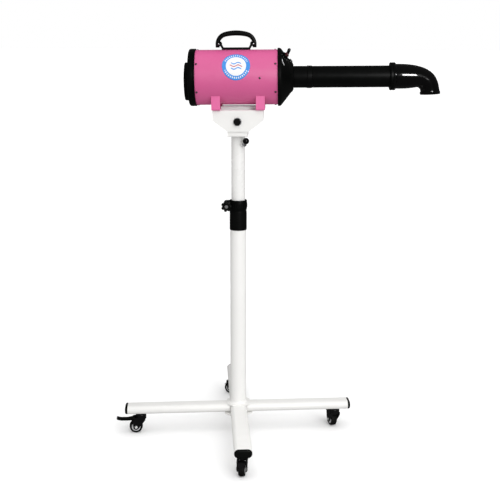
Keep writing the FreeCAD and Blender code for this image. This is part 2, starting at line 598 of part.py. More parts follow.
def nozzle_tube():
    x1 = SLEEVE_X[1] + 0.1
    spigot = TUBE_BORE - 1.85
    tube = turned_x([(x1 - 24, spigot), (x1, spigot), (x1, TUBE_R), (FLANGE_X[0], TUBE_R),
                     (FLANGE_X[0], FLANGE_R), (FLANGE_X[1], FLANGE_R), (FLANGE_X[1], TUBE_BORE),
                     (x1 + 6, TUBE_BORE), (x1 + 2, spigot - 2), (x1 - 24, spigot - 2)])
    return rounded(tube, 1.2, lambda c, e: e.Length > 2 * math.pi * (FLANGE_R - 0.5))


# Elbow stations: (inner point, outer point) of each cross-section, as (x, z above the axis)
ELBOW = (
    ((456.0, -35.8), (456.0, 35.6)),
    ((473.0, -35.9), (474.0, 35.6)),
    ((492.0, -35.2), (497.0, 34.0)),
    ((508.0, -33.7), (523.0, 29.6)),
    ((520.0, -31.9), (549.5, 19.8)),
    ((526.5, -34.3), (570.0, 3.2)),
    ((530.0, -39.5), (581.4, -19.0)),
    ((530.8, -45.0), (586.2, -42.5)),
)
OUTLET_LONG, OUTLET_RIM_R, OUTLET_RIM_LONG, ELBOW_WALL = 0.6, 29.4, 8.0, 2.2


def station_circle(inner, outer, inset):
    """The circle of one elbow station: its wire, centre and direction."""
    low, high = Vector(inner[0], 0, HEAD_Z + inner[1]), Vector(outer[0], 0, HEAD_Z + outer[1])
    across = high - low
    forward = Vector(across.z, 0, -across.x)
    forward.normalize()
    centre = (low + high) * 0.5
    circle = Part.makeCircle(across.Length / 2 - inset, centre, forward)
    return Part.Wire(circle), centre, forward


def elbow_body(inset):
    wires = [station_circle(i, o, inset)[0] for i, o in ELBOW]
    return Part.makeLoft(wires, True, False)


def elbow_nozzle():
    """The bend, down to the thick rim round its mouth."""
    mouth, forward = station_circle(*ELBOW[-1], 0)[1:]
    mouth_r = (Vector(*ELBOW[-1][0]) - Vector(*ELBOW[-1][1])).Length / 2
    neck = cyl(mouth_r, mouth, forward, OUTLET_LONG + OUTLET_RIM_LONG)
    rim = cyl(OUTLET_RIM_R, mouth + forward * OUTLET_LONG, forward, OUTLET_RIM_LONG)
    rim = rounded(rim, 1.2, lambda c, e: e.Length > 100)
    outside = fused(elbow_body(0), neck, rim).cut(elbow_body(ELBOW_WALL))
    return outside.cut(cyl(mouth_r - ELBOW_WALL, mouth - forward * 0.5, forward, 20))


def elbow_collar():
    """Flange of the bend, with the spigot that turns in the straight tube."""
    flange = cyl(FLANGE_R, (FLANGE_X[2], 0, HEAD_Z), (1, 0, 0), FLANGE_X[3] - FLANGE_X[2])
    flange = rounded(flange, 1.2, lambda c, e: e.Length > 100)
    spigot = cyl(TUBE_BORE - RUN, (FLANGE_X[2] - 20, 0, HEAD_Z), (1, 0, 0), 22)
    return fused(flange, spigot).cut(cyl(TUBE_BORE - 2.5, (FLANGE_X[2] - 21, 0, HEAD_Z), (1, 0, 0), 32))


def cord_gland():
    nut = hexagon(22, (GLAND_X, SHELL_R + 0.5, HEAD_Z), (0, 1, 0), 6)
    dome = cyl(9.0, (GLAND_X, SHELL_R + 5, HEAD_Z), (0, 1, 0), 13)
    dome = rounded(dome, 3.0, lambda c, e: c.y > SHELL_R + 17.9)
    thread = cyl(7.8, (GLAND_X, SHELL_R - 12, HEAD_Z), (0, 1, 0), 14)
    return fused(nut, dome, thread).cut(cyl(GLAND_BORE, (GLAND_X, 0, HEAD_Z), (0, 1, 0), 120))


def label():
    """Thin curved sticker on the housing."""
    skin = pipe(SHELL_R + 0.5, SHELL_R + 0.02, (LABEL_X - 60, 0, HEAD_Z), (1, 0, 0), 120)
    punch = cyl(LABEL_R, on_head(LABEL_X, LABEL_ANGLE, 30), radial(LABEL_ANGLE), 80)
    return skin.common(punch)


# ---------------------------------------------------------------- carry handle

HANDLE_TOP, HANDLE_UNDER, HANDLE_FOOT, HANDLE_Y = 1212.8, 1198.8, 1164.0, 10.0
HANDLE_SPRING = HANDLE_PIVOT_Z - 1.0                      # height where the arch springs from the legs
HANDLE_OUT, HANDLE_OUT_CORNER = 59.0, 36.0
HANDLE_IN, HANDLE_IN_CORNER = 47.6, 23.0
EAR_OUT, EAR_HALF, EAR_THICK = 45.6, 7.0, 3.0


def arch(half, height, corner):
    """Left corner, crown and right corner of a three-centred arch, as tangent arcs."""
    side = half - corner
    crown = (side ** 2 + height ** 2 - corner ** 2) / (2 * (height - corner))
    lean = math.asin(side / (crown - corner))

    def at(centre_x, centre_z, radius, angle):
        return Vector(HANDLE_MID + centre_x + radius * math.sin(angle), 0,
                      HANDLE_SPRING + centre_z + radius * math.cos(angle))

    right = [at(side, 0, corner, a) for a in (math.pi / 2, (math.pi / 2 + lean) / 2, lean)]
    left = [at(-side, 0, corner, -a) for a in (lean, (math.pi / 2 + lean) / 2, math.pi / 2)]
    top = at(0, height - crown, crown, 0)
    arcs = [right, (right[2], top, left[0]), left]
    return [Part.Arc(*points).toShape() for points in arcs]


def carry_handle():
    edges = arch(HANDLE_OUT, HANDLE_TOP - HANDLE_SPRING, HANDLE_OUT_CORNER)
    edges += arch(HANDLE_IN, HANDLE_UNDER - HANDLE_SPRING, HANDLE_IN_CORNER)
    for side in (-1, 1):
        out_x, in_x = HANDLE_MID + side * HANDLE_OUT, HANDLE_MID + side * HANDLE_IN
        corners = [Vector(out_x, 0, HANDLE_SPRING), Vector(out_x, 0, HANDLE_FOOT),
                   Vector(in_x, 0, HANDLE_FOOT), Vector(in_x, 0, HANDLE_SPRING)]
        for a, b in zip(corners, corners[1:]):
            edges.append(Part.LineSegment(a, b).toShape())
    wire = Part.Wire(Part.__sortEdges__(edges))
    grip = Part.Face(wire).extrude(Vector(0, 2 * HANDLE_Y, 0))
    grip.translate(Vector(0, -HANDLE_Y, 0))
    grip = rounded(grip, 4.2, lambda c, e: abs(abs(c.y) - HANDLE_Y) < 0.01)
    hole = cyl(2.5 + RUN, (-100, 0, HANDLE_PIVOT_Z), (1, 0, 0), 200)
    return grip.cut(hole)


def handle_base():
    """Steel strap on the housing with an ear at each end."""
    strap = box((HANDLE_MID - 41, HANDLE_MID + 41), (-9, 9), (HEAD_Z + SHELL_R - 1, STRAP_TOP))
    solid = strap.cut(cyl(SHELL_R + 0.02, (-100, 0, HEAD_Z), (1, 0, 0), 200))
    ear_top = HANDLE_PIVOT_Z + EAR_HALF
    for side in (-1, 1):
        outline = [(35, STRAP_TOP - 3.5), (41, STRAP_TOP - 3.5), (EAR_OUT, 1168.0), (EAR_OUT, ear_top),
                   (EAR_OUT - EAR_THICK, ear_top), (EAR_OUT - EAR_THICK, 1177.5), (40.4, 1171.9),
                   (36.5, STRAP_TOP)]
        ear = prism_y([(HANDLE_MID + side * x, z) for x, z in outline], (-EAR_HALF, EAR_HALF))
        ear = rounded(ear, EAR_HALF - 0.1, lambda c, e: c.z > ear_top - 0.1 and abs(c.y) > EAR_HALF - 0.1)
        solid = fused(solid, ear)
        spot_face = cyl(4.2, (HANDLE_MID + side * (EAR_OUT - 9), 0, HANDLE_PIVOT_Z), (side, 0, 0), 9 - EAR_THICK)
        solid = solid.cut(spot_face)
    return solid.cut(cyl(2.5 + 0.01, (-100, 0, HANDLE_PIVOT_Z), (1, 0, 0), 200))


def handle_pin(side):
    start = HANDLE_MID + side * (EAR_OUT - 5)
    pin = cyl(2.5, (start, 0, HANDLE_PIVOT_Z), (side, 0, 0), 15)
    head = cyl(4.0, (start, 0, HANDLE_PIVOT_Z), (side, 0, 0), 1.9)
    return fused(pin, head)


# ---------------------------------------------------------------- inside the housing

FAN_X, FAN_R, SHAFT_R = (-98.0, -72.0), 60.0, 4.0
MOTOR_X, MOTOR_R = (-52.0, 24.0), 44.0
HEATER_X = (38.0, 96.0)


def motor():
    can = cyl(MOTOR_R, (MOTOR_X[0], 0, HEAD_Z), (1, 0, 0), MOTOR_X[1] - MOTOR_X[0])
    can = rounded(can, 6.0, lambda c, e: e.Length > 100)
    nose = cyl(14, (MOTOR_X[0] - 6, 0, HEAD_Z), (1, 0, 0), 8)
    return fused(can, nose).cut(cyl(SHAFT_R + RUN, (-120, 0, HEAD_Z), (1, 0, 0), 110))


def motor_shaft():
    return cyl(SHAFT_R, (FAN_X[0] - 4, 0, HEAD_Z), (1, 0, 0), 88)


def fan_impeller():
    """Backplate, hub and swept blades."""
    x0, x1 = FAN_X
    plate = cyl(FAN_R, (x1 - 2, 0, HEAD_Z), (1, 0, 0), 2)
    hub_part = cyl(14, (x0, 0, HEAD_Z), (1, 0, 0), x1 - x0)
    blade = box((x0, x1 - 1), (-1, 1), (12, FAN_R - 1))
    solid = fused(plate, hub_part)
    for i in range(9):
        swept = spun(blade, 25, (0, 0, 34), X_AXIS)
        swept = spun(swept, 40 * i, (0, 0, 0), X_AXIS)
        swept.translate(Vector(0, 0, HEAD_Z))
        solid = solid.fuse(swept)
    return solid.removeSplitter().cut(cyl(SHAFT_R + 0.01, (-120, 0, HEAD_Z), (1, 0, 0), 110))


def motor_mount(x):
    """Rubber ring that centres the motor, with air passages."""
    ring = pipe(SHELL_R - SHELL_WALL - 0.1, MOTOR_R + 0.02, (x, 0, HEAD_Z), (1, 0, 0), 8)
    for i in range(8):
        ring = ring.cut(cyl(11, on_head(x, 45 * i + 22.5, 61), (1, 0, 0), 8))
    return ring


def heater_frame():
    """Crossed mica boards on a ring with spokes."""
    x0, x1 = HEATER_X
    boards = fused(box((x0, x1), (-1, 1), (-46, 46)), box((x0, x1), (-46, 46), (-1, 1)))
    ring = pipe(SPIGOT_R, 70, (FRAME_SCREW_X - 4, 0, 0), (1, 0, 0), 8)
    bars = [box((FRAME_SCREW_X - 3, FRAME_SCREW_X + 3), (-1, 1), (-71, 71)),
            box((FRAME_SCREW_X - 3, FRAME_SCREW_X + 3), (-71, 71), (-1, 1))]
    frame = fused(boards, ring, *bars)
    frame.translate(Vector(0, 0, HEAD_Z))
    return drill_screws(frame, 2.05, (FRAME_SCREW_X,))


def heater_rings():
    """Heating wire, as closed turns round the boards' edges."""
    turns = []
    for x in (42, 48, 54, 60, 72, 78, 84, 90):
        turns.append(Part.makeTorus(47.4, 1.4, Vector(x, 0, HEAD_Z), X_AXIS))
    return Part.makeCompound(turns)


# ---------------------------------------------------------------- nodes

def base_nodes():
    quarter = {"leg_right": 0, "leg_back": 90, "leg_left": 180, "leg_front": 270}
    nodes = {name: spun(leg(), a + BASE_TURN) for name, a in quarter.items()}
    nodes["leg_end_caps"] = Part.makeCompound([spun(end_cap(), a + BASE_TURN) for a in quarter.values()])
    bolts = [spun(hub_bolt(), a + BASE_TURN) for a in quarter.values()]
    nodes["base_fasteners"] = Part.makeCompound(bolts + [clamp_nut()])
    nodes["base_hub"] = spun(hub(), BASE_TURN)
    nodes["lower_pole"] = lower_pole()
    nodes["pole_bush"] = pole_bush()
    nodes["pole_collar"] = pole_collar()
    nodes["height_knob"] = height_knob()
    return nodes


def castor_nodes():
    stems = [placed_castor(castor_stem(), name) for name in CASTORS]
    nodes = {"castor_stems": Part.makeCompound(stems)}
    for name in CASTORS:
        fork = Part.makeCompound([castor_fork(name in BRAKED), castor_axle()])
        nodes[f"castor_fork_{name}"] = placed_castor(fork, name)
        nodes[f"castor_wheel_{name}"] = placed_castor(wheel_hub(), name)
        nodes[f"castor_tyre_{name}"] = placed_castor(tyre(), name)
        if name in BRAKED:
            nodes[f"brake_pedal_{name}"] = placed_castor(brake_pedal(), name)
    return nodes


def mast_nodes():
    return {
        "upper_tube": upper_tube(),
        "ball_lever": ball_lever(),
        "swivel_fork": swivel_fork(),
        "pivot_bolt": pivot_bolt(),
        "pivot_hardware": pivot_hardware(),
    }


def cradle_nodes():
    return {
        "tilt_bracket": tilt_bracket(),
        "mounting_rail": mounting_rail(),
        "saddle_feet": Part.makeCompound([saddle_foot(x) for x in FEET_X]),
        "foot_bolts": Part.makeCompound([foot_bolt(x, y) for x, y in bolt_places()]),
    }


def blower_nodes():
    return {
        "housing": housing(),
        "housing_screws": Part.makeCompound([screw(x, a) for x, a in shell_screws()]),
        "rear_cap": rear_cap(),
        "intake_cover": intake_cover(),
        "intake_filter": intake_filter(),
        "front_cap": front_cap(),
        "speed_knob": speed_knob(),
        "speed_control": speed_control(),
        "toggle_bush": toggle_bush(),
        "toggle_lever": toggle_lever(),
        "pilot_lamp": pilot_lamp(),
        "outlet_sleeve": outlet_sleeve(),
        "nozzle_tube": nozzle_tube(),
        "elbow_nozzle": elbow_nozzle(),
        "elbow_collar": elbow_collar(),
        "cord_gland": cord_gland(),
        "label": label(),
        "carry_handle": carry_handle(),
        "handle_base": handle_base(),
        "handle_pins": Part.makeCompound([handle_pin(side) for side in (-1, 1)]),
        "motor": motor(),
        "motor_mounts": Part.makeCompound([motor_mount(x) for x in (-46.0, 10.0)]),
        "fan_rotor": Part.makeCompound([fan_impeller(), motor_shaft()]),
        "heater_frame": heater_frame(),
        "heater_wire": heater_rings(),
    }


def main():
    os.makedirs("parts", exist_ok=True)
    nodes = {**base_nodes(), **castor_nodes(), **mast_nodes()}
    for name, shape in {**cradle_nodes(), **blower_nodes()}.items():
        nodes[name] = spun(shape, HEAD_TILT, (0, 0, PIVOT_Z), Y_AXIS)
    for name, shape in nodes.items():
        shape.exportStep(f"parts/{name}.step")
        print(name, len(shape.Solids), round(shape.Volume), shape.isValid())
    print(len(nodes), "nodes")


main()
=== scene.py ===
import json
import math

import bmesh
import bpy
from mathutils import Matrix, Vector


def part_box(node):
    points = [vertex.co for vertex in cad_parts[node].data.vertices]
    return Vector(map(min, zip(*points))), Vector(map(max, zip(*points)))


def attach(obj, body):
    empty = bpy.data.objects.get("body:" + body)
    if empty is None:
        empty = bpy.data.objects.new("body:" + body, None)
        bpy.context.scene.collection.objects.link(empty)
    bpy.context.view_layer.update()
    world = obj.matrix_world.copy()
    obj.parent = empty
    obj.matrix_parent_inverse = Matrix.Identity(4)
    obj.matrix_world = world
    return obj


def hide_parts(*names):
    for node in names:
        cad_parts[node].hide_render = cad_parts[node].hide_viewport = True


# Stand blower dryer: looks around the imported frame. Lengths are millimetres, except in the
# materials and from the camera on, where they are metres.

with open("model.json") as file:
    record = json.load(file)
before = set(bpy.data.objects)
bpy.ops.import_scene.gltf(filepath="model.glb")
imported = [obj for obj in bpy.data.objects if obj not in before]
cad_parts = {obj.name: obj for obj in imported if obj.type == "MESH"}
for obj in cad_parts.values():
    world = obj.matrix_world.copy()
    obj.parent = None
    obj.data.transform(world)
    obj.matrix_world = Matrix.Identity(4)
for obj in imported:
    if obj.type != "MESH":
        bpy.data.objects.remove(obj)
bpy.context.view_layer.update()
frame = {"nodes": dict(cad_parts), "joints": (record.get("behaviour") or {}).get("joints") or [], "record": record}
MM = 0.001


# ---------------------------------------------------------------- materials

# Where the mix node keeps its two colours and the mixed one.
MIX_COLOUR_A, MIX_COLOUR_B, MIX_COLOUR_OUT = 6, 7, 2
# Dust on the base: its colour, the heights in metres between which it fades, and how thick it lies.
DUST, DUST_FULL, DUST_NONE, DUST_MOST = (0.42, 0.39, 0.35), 0.03, 0.12, 0.22
BLACK_SPECULAR = 0.07


class Tree:
    """A material under construction, with short calls for the nodes used here."""

    def __init__(self, name):
        self.material = bpy.data.materials.new(name)
        self.material.use_nodes = True
        self.nodes = self.material.node_tree.nodes
        self.links = self.material.node_tree.links
        self.nodes.clear()
        self.shader = self.nodes.new("ShaderNodeBsdfPrincipled")
        out = self.nodes.new("ShaderNodeOutputMaterial")
        self.links.new(self.shader.outputs[0], out.inputs[0])
        self.coords = self.nodes.new("ShaderNodeTexCoord").outputs["Object"]

    def put(self, socket, value):
        if isinstance(value, bpy.types.NodeSocket):
            self.links.new(value, socket)
        elif socket.type == "RGBA":
            socket.default_value = (*value, 1.0)
        else:
            socket.default_value = value

    def noise(self, scale, detail, stretch=(1, 1, 1)):
        mapping = self.nodes.new("ShaderNodeMapping")
        self.links.new(self.coords, mapping.inputs["Vector"])
        mapping.inputs["Scale"].default_value = stretch
        node = self.nodes.new("ShaderNodeTexNoise")
        self.links.new(mapping.outputs[0], node.inputs["Vector"])
        node.inputs["Scale"].default_value = scale
        node.inputs["Detail"].default_value = detail
        return node.outputs[0]

    def spread(self, value, low, high, to_low, to_high):
        node = self.nodes.new("ShaderNodeMapRange")
        for index, number in enumerate((low, high, to_low, to_high), 1):
            node.inputs[index].default_value = number
        self.put(node.inputs[0], value)
        return node.outputs[0]

    def math(self, kind, a, b=0.0):
        node = self.nodes.new("ShaderNodeMath")
        node.operation = kind
        for socket, value in zip(node.inputs, (a, b)):
            self.put(socket, value)
        return node.outputs[0]

    def mix(self, factor, a, b):
        node = self.nodes.new("ShaderNodeMix")
        node.data_type = "RGBA"
        self.put(node.inputs[0], factor)
        self.put(node.inputs[MIX_COLOUR_A], a)
        self.put(node.inputs[MIX_COLOUR_B], b)
        return node.outputs[MIX_COLOUR_OUT]

    def axis(self, index):
        node = self.nodes.new("ShaderNodeSeparateXYZ")
        self.links.new(self.coords, node.inputs[0])
        return node.outputs[index]

    def bump(self, height, strength, distance):
        node = self.nodes.new("ShaderNodeBump")
        node.inputs["Strength"].default_value = strength
        node.inputs["Distance"].default_value = distance
        self.put(node.inputs["Height"], height)
        self.put(self.shader.inputs["Normal"], node.outputs[0])

    def set(self, **values):
        for key, value in values.items():
            self.put(self.shader.inputs[key.replace("_", " ")], value)
        return self.material


def coated(name, colour, shade, roughness, grain, coat=0.0, dusty=False):
    """Paint on metal: faint tone drift, orange peel, and dust low down where asked."""
    t = Tree(name)
    tone = t.spread(t.noise(6.0, 3.0), 0.35, 0.65, 0.0, 1.0)
    base = t.mix(tone, colour, shade)
    if dusty:
        low = t.spread(t.axis(2), DUST_FULL, DUST_NONE, DUST_MOST, 0.0)
        patch = t.math("MULTIPLY", low, t.noise(40.0, 4.0))
        base = t.mix(patch, base, DUST)
    t.bump(t.noise(grain, 2.0), 0.06, 0.0004)
    rough = t.spread(t.noise(35.0, 3.0), 0.3, 0.7, roughness * 0.85, roughness * 1.15)
    return t.set(Base_Color=base, Roughness=rough, Coat_Weight=coat, Coat_Roughness=0.12)


def moulded(name, colour, shade, roughness, grain, depth, coat=0.0):
    """Injection-moulded plastic: fine spark-eroded grain and soft flow marks."""
    t = Tree(name)
    flow = t.spread(t.noise(9.0, 3.0, (0.3, 1, 1)), 0.35, 0.65, 0.0, 1.0)
    t.bump(t.noise(grain, 3.0), depth, 0.0003)
    rough = t.spread(t.noise(50.0, 3.0), 0.3, 0.7, roughness * 0.88, roughness * 1.12)
    return t.set(Base_Color=t.mix(flow, colour, shade), Roughness=rough,
                 Coat_Weight=coat, Coat_Roughness=0.05)


def metal(name, colour, shade, roughness, stretch=(1, 1, 1), metallic=1.0):
    """Bare or plated metal with drawn lines along the stretched axis."""
    t = Tree(name)
    lines = t.noise(420.0, 4.0, stretch)
    rough = t.spread(lines, 0.3, 0.7, roughness * 0.75, roughness * 1.3)
    t.bump(lines, 0.05, 0.0002)
    tone = t.spread(t.noise(30.0, 2.0), 0.3, 0.7, 0.0, 1.0)
    return t.set(Base_Color=t.mix(tone, colour, shade), Roughness=rough, Metallic=metallic)


WHITE = coated("white_powder_coat", (0.82, 0.815, 0.797), (0.80, 0.795, 0.777), 0.46, 1400, 0.05, True)
TUBE_WHITE = coated("white_enamel", (0.83, 0.825, 0.81), (0.81, 0.805, 0.79), 0.28, 900, 0.3)
PINK = coated("pink_enamel", (0.65, 0.104, 0.285), (0.625, 0.096, 0.27), 0.40, 1100, 0.1)
# Painted light: a lighter copy of the pink enamel for the saddle feet, standing in for the extra light on their
# flat front-facing faces.
PINK_PAINTED_LIT = coated("pink_enamel_painted_lit", (0.76, 0.135, 0.350), (0.735, 0.125, 0.335), 0.40, 1100, 0.1)
BLACK = moulded("black_satin_plastic", (0.0018, 0.0020, 0.0019), (0.0036, 0.0038, 0.0036), 0.36, 1600, 0.1)
GLOSS = moulded("black_gloss_plastic", (0.0015, 0.0015, 0.0015), (0.0026, 0.0026, 0.0026), 0.16, 500, 0.02,
                coat=0.45)
RUBBER = moulded("black_rubber", (0.004, 0.004, 0.004), (0.007, 0.007, 0.0067), 0.6, 900, 0.25)
GREY = moulded("grey_plastic", (0.42, 0.42, 0.43), (0.35, 0.35, 0.36), 0.4, 1300, 0.12)
HUB_GREY = moulded("pale_hub_plastic", (0.66, 0.66, 0.67), (0.58, 0.58, 0.59), 0.36, 1300, 0.12)
IRON = coated("black_stoved_steel", (0.0035, 0.0035, 0.0038), (0.006, 0.006, 0.0063), 0.34, 1200, 0.1)
ZINC = metal("zinc_plate", (0.66, 0.66, 0.67), (0.56, 0.56, 0.58), 0.34)
RAIL_ZINC = metal("bright_zinc_plate", (0.74, 0.75, 0.74), (0.66, 0.67, 0.66), 0.38, (0.05, 1, 1), 0.35)
DARK_STEEL = metal("dark_plated_steel", (0.10, 0.095, 0.10), (0.07, 0.065, 0.07), 0.34)
CHROME = metal("chrome", (0.80, 0.80, 0.81), (0.74, 0.74, 0.75), 0.09)
CAST = metal("cast_aluminium", (0.50, 0.51, 0.52), (0.42, 0.43, 0.44), 0.55)
WIRE = metal("heating_wire", (0.40, 0.36, 0.32), (0.30, 0.27, 0.25), 0.42)
FOAM = moulded("filter_foam", (0.012, 0.012, 0.012), (0.035, 0.035, 0.035), 0.95, 420, 1.0)
MICA = moulded("mica_board", (0.50, 0.40, 0.25), (0.38, 0.30, 0.18), 0.5, 300, 0.2)
LENS = moulded("lamp_lens", (0.62, 0.62, 0.63), (0.5, 0.5, 0.52), 0.12, 200, 0.02, 0.5)
RED = moulded("dark_red_plastic", (0.055, 0.005, 0.009), (0.042, 0.004, 0.007), 0.28, 900, 0.06, 0.3)
for dark in (BLACK, GLOSS, RUBBER, IRON):
    dark.node_tree.nodes["Principled BSDF"].inputs["Specular IOR Level"].default_value = BLACK_SPECULAR

MATERIAL_OF_SLOT = {
    "white_powder_coat": WHITE, "upper_tube_enamel": TUBE_WHITE, "pink_enamel": PINK,
    "black_plastic": BLACK, "black_enamel_steel": IRON, "zinc_steel": ZINC, "castor_steel": IRON,
    "brake_black": BLACK, "castor_hub_plastic": GREY, "castor_tread": RUBBER, "black_ball": GLOSS,
    "switch_chrome": CHROME, "rubber_pads": RUBBER, "bush_plastic": BLACK, "foam": FOAM,
    "label_print": GREY, "motor_casting": CAST, "regulator": BLACK, "fan_plastic": BLACK,
    "mica": MICA, "heating_wire": WIRE,
}
SLOT_OF_NODE = {s["node"]: s["material_slot"] for s in frame["record"]["subparts"]}
# The saddle feet take the lit copy of the pink enamel: painted light, the same paint as the housing.
MATERIAL_OF_NODE = {"saddle_feet": PINK_PAINTED_LIT, "mounting_rail": RAIL_ZINC, "handle_pins": IRON}
for node_name, node in frame["nodes"].items():
    usual = MATERIAL_OF_SLOT[SLOT_OF_NODE[node_name]]
    node.data.materials.clear()
    node.data.materials.append(MATERIAL_OF_NODE.get(node_name, usual))


# ---------------------------------------------------------------- mesh building

CORNER_STEPS, BEVEL_STEPS, SHARP_ANGLE = 6, 3, 32.0


def arc_corner(before, corner, after, radius):
    """Points that round one corner of a flat outline."""
    a, b = Vector(before) - Vector(corner), Vector(after) - Vector(corner)
    half = a.angle(b) / 2
    cut = min(radius / math.tan(half), 0.49 * min(a.length, b.length))
    radius = cut * math.tan(half)
    centre = Vector(corner) + (a.normalized() + b.normalized()).normalized() * (radius / math.sin(half))
    start, end = Vector(corner) + a.normalized() * cut, Vector(corner) + b.normalized() * cut
    u, w = start - centre, end - centre
    turn = u.angle_signed(w) if u.length > 1e-9 else 0.0
    points = []
    for i in range(CORNER_STEPS + 1):
        spin = -turn * i / CORNER_STEPS
        c, s = math.cos(spin), math.sin(spin)
        points.append((centre.x + u.x * c - u.y * s, centre.y + u.x * s + u.y * c))
    return points


def soften(outline, closed=True):
    """An outline of (a, b) or (a, b, corner radius) points with its corners rounded."""
    flat = [(p[0], p[1]) for p in outline]
    points = []
    count = len(outline)
    for i, p in enumerate(outline):
        ends = not closed and i in (0, count - 1)
        if len(p) < 3 or ends:
            points.append(flat[i])
        else:
            points += arc_corner(flat[i - 1], flat[i], flat[(i + 1) % count], p[2])
    return points


def basis(direction):
    w = Vector(direction).normalized()
    side = Vector((0, 1, 0)) if abs(w.y) < 0.9 else Vector((1, 0, 0))
    u = side.cross(w).normalized()
    return u, w.cross(u), w


def ring_faces(rows, count, closed=False):
    """Quads between rings of count points, and from the last ring to the first where it closes."""
    faces = []
    rings = rows if closed else rows + 1
    for r in range(rows):
        low, high = r * count, ((r + 1) % rings) * count
        for i in range(count):
            j = (i + 1) % count
            faces.append((low + i, low + j, high + j, high + i))
    return faces


def lathe(profile, origin=(0, 0, 0), direction=(0, 0, 1), segments=96, closed=False):
    """A profile of (along, radius) points turned round an axis."""
    u, v, w = basis(direction)
    o = Vector(origin)
    verts = []
    for along, radius in profile:
        for i in range(segments):
            a = 2 * math.pi * i / segments
            verts.append(o + w * along + (u * math.cos(a) + v * math.sin(a)) * radius)
    return verts, ring_faces(len(profile) if closed else len(profile) - 1, segments, closed)


def loft(rings, ends=True):
    """Quads between rings of equally many points, with flat ends where asked."""
    count = len(rings[0])
    verts = [Vector(p) for ring in rings for p in ring]
    rows = len(rings)
    faces = ring_faces(rows - 1, count)
    if ends:
        faces.append(tuple(range(count))[::-1])
        faces.append(tuple(range((rows - 1) * count, rows * count)))
    return verts, faces


def slab(outline, low, high, plane="xz"):
    """An outline in one plane, given thickness along the third axis."""
    place = {
        "xz": lambda a, b, c: (a, c, b),
        "xy": lambda a, b, c: (a, b, c),
        "yz": lambda a, b, c: (c, a, b),
    }[plane]
    rings = [[place(a, b, c) for a, b in outline] for c in (low, high)]
    return loft(rings)


def joined(*meshes):
    verts, faces = [], []
    for more_verts, more_faces in meshes:
        start = len(verts)
        verts += [Vector(v) for v in more_verts]
        faces += [tuple(i + start for i in f) for f in more_faces]
    return verts, faces


def moved(mesh, matrix):
    return [matrix @ Vector(v) for v in mesh[0]], mesh[1]


def turned(degrees, axis="Z", centre=(0, 0, 0)):
    c = Vector(centre)
    return Matrix.Translation(c) @ Matrix.Rotation(math.radians(degrees), 4, axis) @ Matrix.Translation(-c)


def piece(name, mesh, material, body, replaces=(), bevel=0.0, angle=SHARP_ANGLE):
    """Makes one shown piece from mesh data in millimetres and ties it to its CAD body."""
    verts, faces = tipped(mesh) if body in HEAD_BODIES else mesh
    data = bpy.data.meshes.new(name)
    data.from_pydata([Vector(v) * MM for v in verts], [], faces)
    bm = bmesh.new()
    bm.from_mesh(data)
    bmesh.ops.remove_doubles(bm, verts=bm.verts, dist=2e-6)
    bmesh.ops.dissolve_degenerate(bm, dist=1e-6, edges=bm.edges)
    bmesh.ops.recalc_face_normals(bm, faces=bm.faces)
    if bevel:
        inner = [e for e in bm.edges if len(e.link_faces) == 2]
        sharp = [e for e in inner if e.calc_face_angle() > math.radians(angle)]
        bmesh.ops.bevel(bm, geom=sharp, offset=bevel * MM, segments=BEVEL_STEPS, profile=0.5, affect="EDGES",
                        clamp_overlap=True)
        bmesh.ops.recalc_face_normals(bm, faces=bm.faces)
    bm.to_mesh(data)
    bm.free()
    data.shade_smooth()
    data.set_sharp_from_angle(angle=math.radians(angle))
    data.materials.append(material)
    obj = bpy.data.objects.new(name, data)
    bpy.context.scene.collection.objects.link(obj)
    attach(obj, body)
    if replaces:
        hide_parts(*replaces)


# ---------------------------------------------------------------- places read from the frame

def box_mm(node):
    low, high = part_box(node)
    return low / MM, high / MM


def joint(name):
    return next(j for j in frame["joints"] if j["name"] == name)


# The blower is described level here, then tipped about its pivot as the frame has it.
HEAD_BODIES = ("head", "fan", "elbow", "speed_knob", "heat_toggle", "intake_cover", "carry_handle")
FAN_AXIS = joint("fan_spin")["axis"]
TIP_ANGLE = -math.degrees(math.atan2(FAN_AXIS[2], FAN_AXIS[0]))
HEAD_TIP = turned(TIP_ANGLE, "Y", Vector(joint("head_tilt")["pos_m"]) / MM)
HEAD_Z = (HEAD_TIP.inverted() @ (Vector(joint("fan_spin")["pos_m"]) / MM)).z
SHELL_X, SHELL_R = (-119.0, 116.3), 79.0
SCREW_ROWS, FRAME_SCREW_X = (-114.0, 109.8), 65.5
REAR_X, REAR_R = -139.6, 82.4
COVER_X, COVER_R, COVER_DROP, GRILLE_R = -151.8, 54.7, 11.2, 43.0
RIM_R, CONE_X, CONE_R = 83.6, (127.0, 157.0), (81.8, 43.0)
SLEEVE_X, SLEEVE_R, RING_X, RING_R = (162.0, 215.5), 31.4, 201.5, 32.6
TUBE_R, FLANGE_R = 31.2, 40.0
FLANGE_X = (441.0, 447.8, 448.1, 456.0)
ALONG = (1, 0, 0)
HEAD = (0, 0, HEAD_Z)


def tipped(mesh):
    return moved(mesh, HEAD_TIP)


def radial(angle):
    """Across the blower's axis: 0 faces the label side, 90 is up."""
    a = math.radians(angle)
    return Vector((0, -math.cos(a), math.sin(a)))


def on_shell(x, angle, radius):
    return Vector((x, 0, HEAD_Z)) + radial(angle) * radius


# ---------------------------------------------------------------- base

LEG_LOW, LEG_HIGH = box_mm("leg_right")
LEG_Z = (LEG_LOW.z + LEG_HIGH.z) / 2
LEG_END, LEG_START = 337.0, 25.6
LEG_WIDE, LEG_TALL = 50.0, 25.0
CAP_EDGE, CAP_DOME, CAP_ROUND = 2.6, 5.2, 6.0
TUBE_WALL, UPPER_R, BALL_R = 1.5, 20.0, 9.5
COLLAR_RIBS, COLLAR_RIB_REACH, KNOB_LOBES = 24, 26.25, 7

# How far the cross stands turned, from the stem of the right castor.
RIGHT_STEM = joint("castor_right_swivel")["pos_m"]
TURN = math.degrees(math.atan2(RIGHT_STEM[1], RIGHT_STEM[0]))


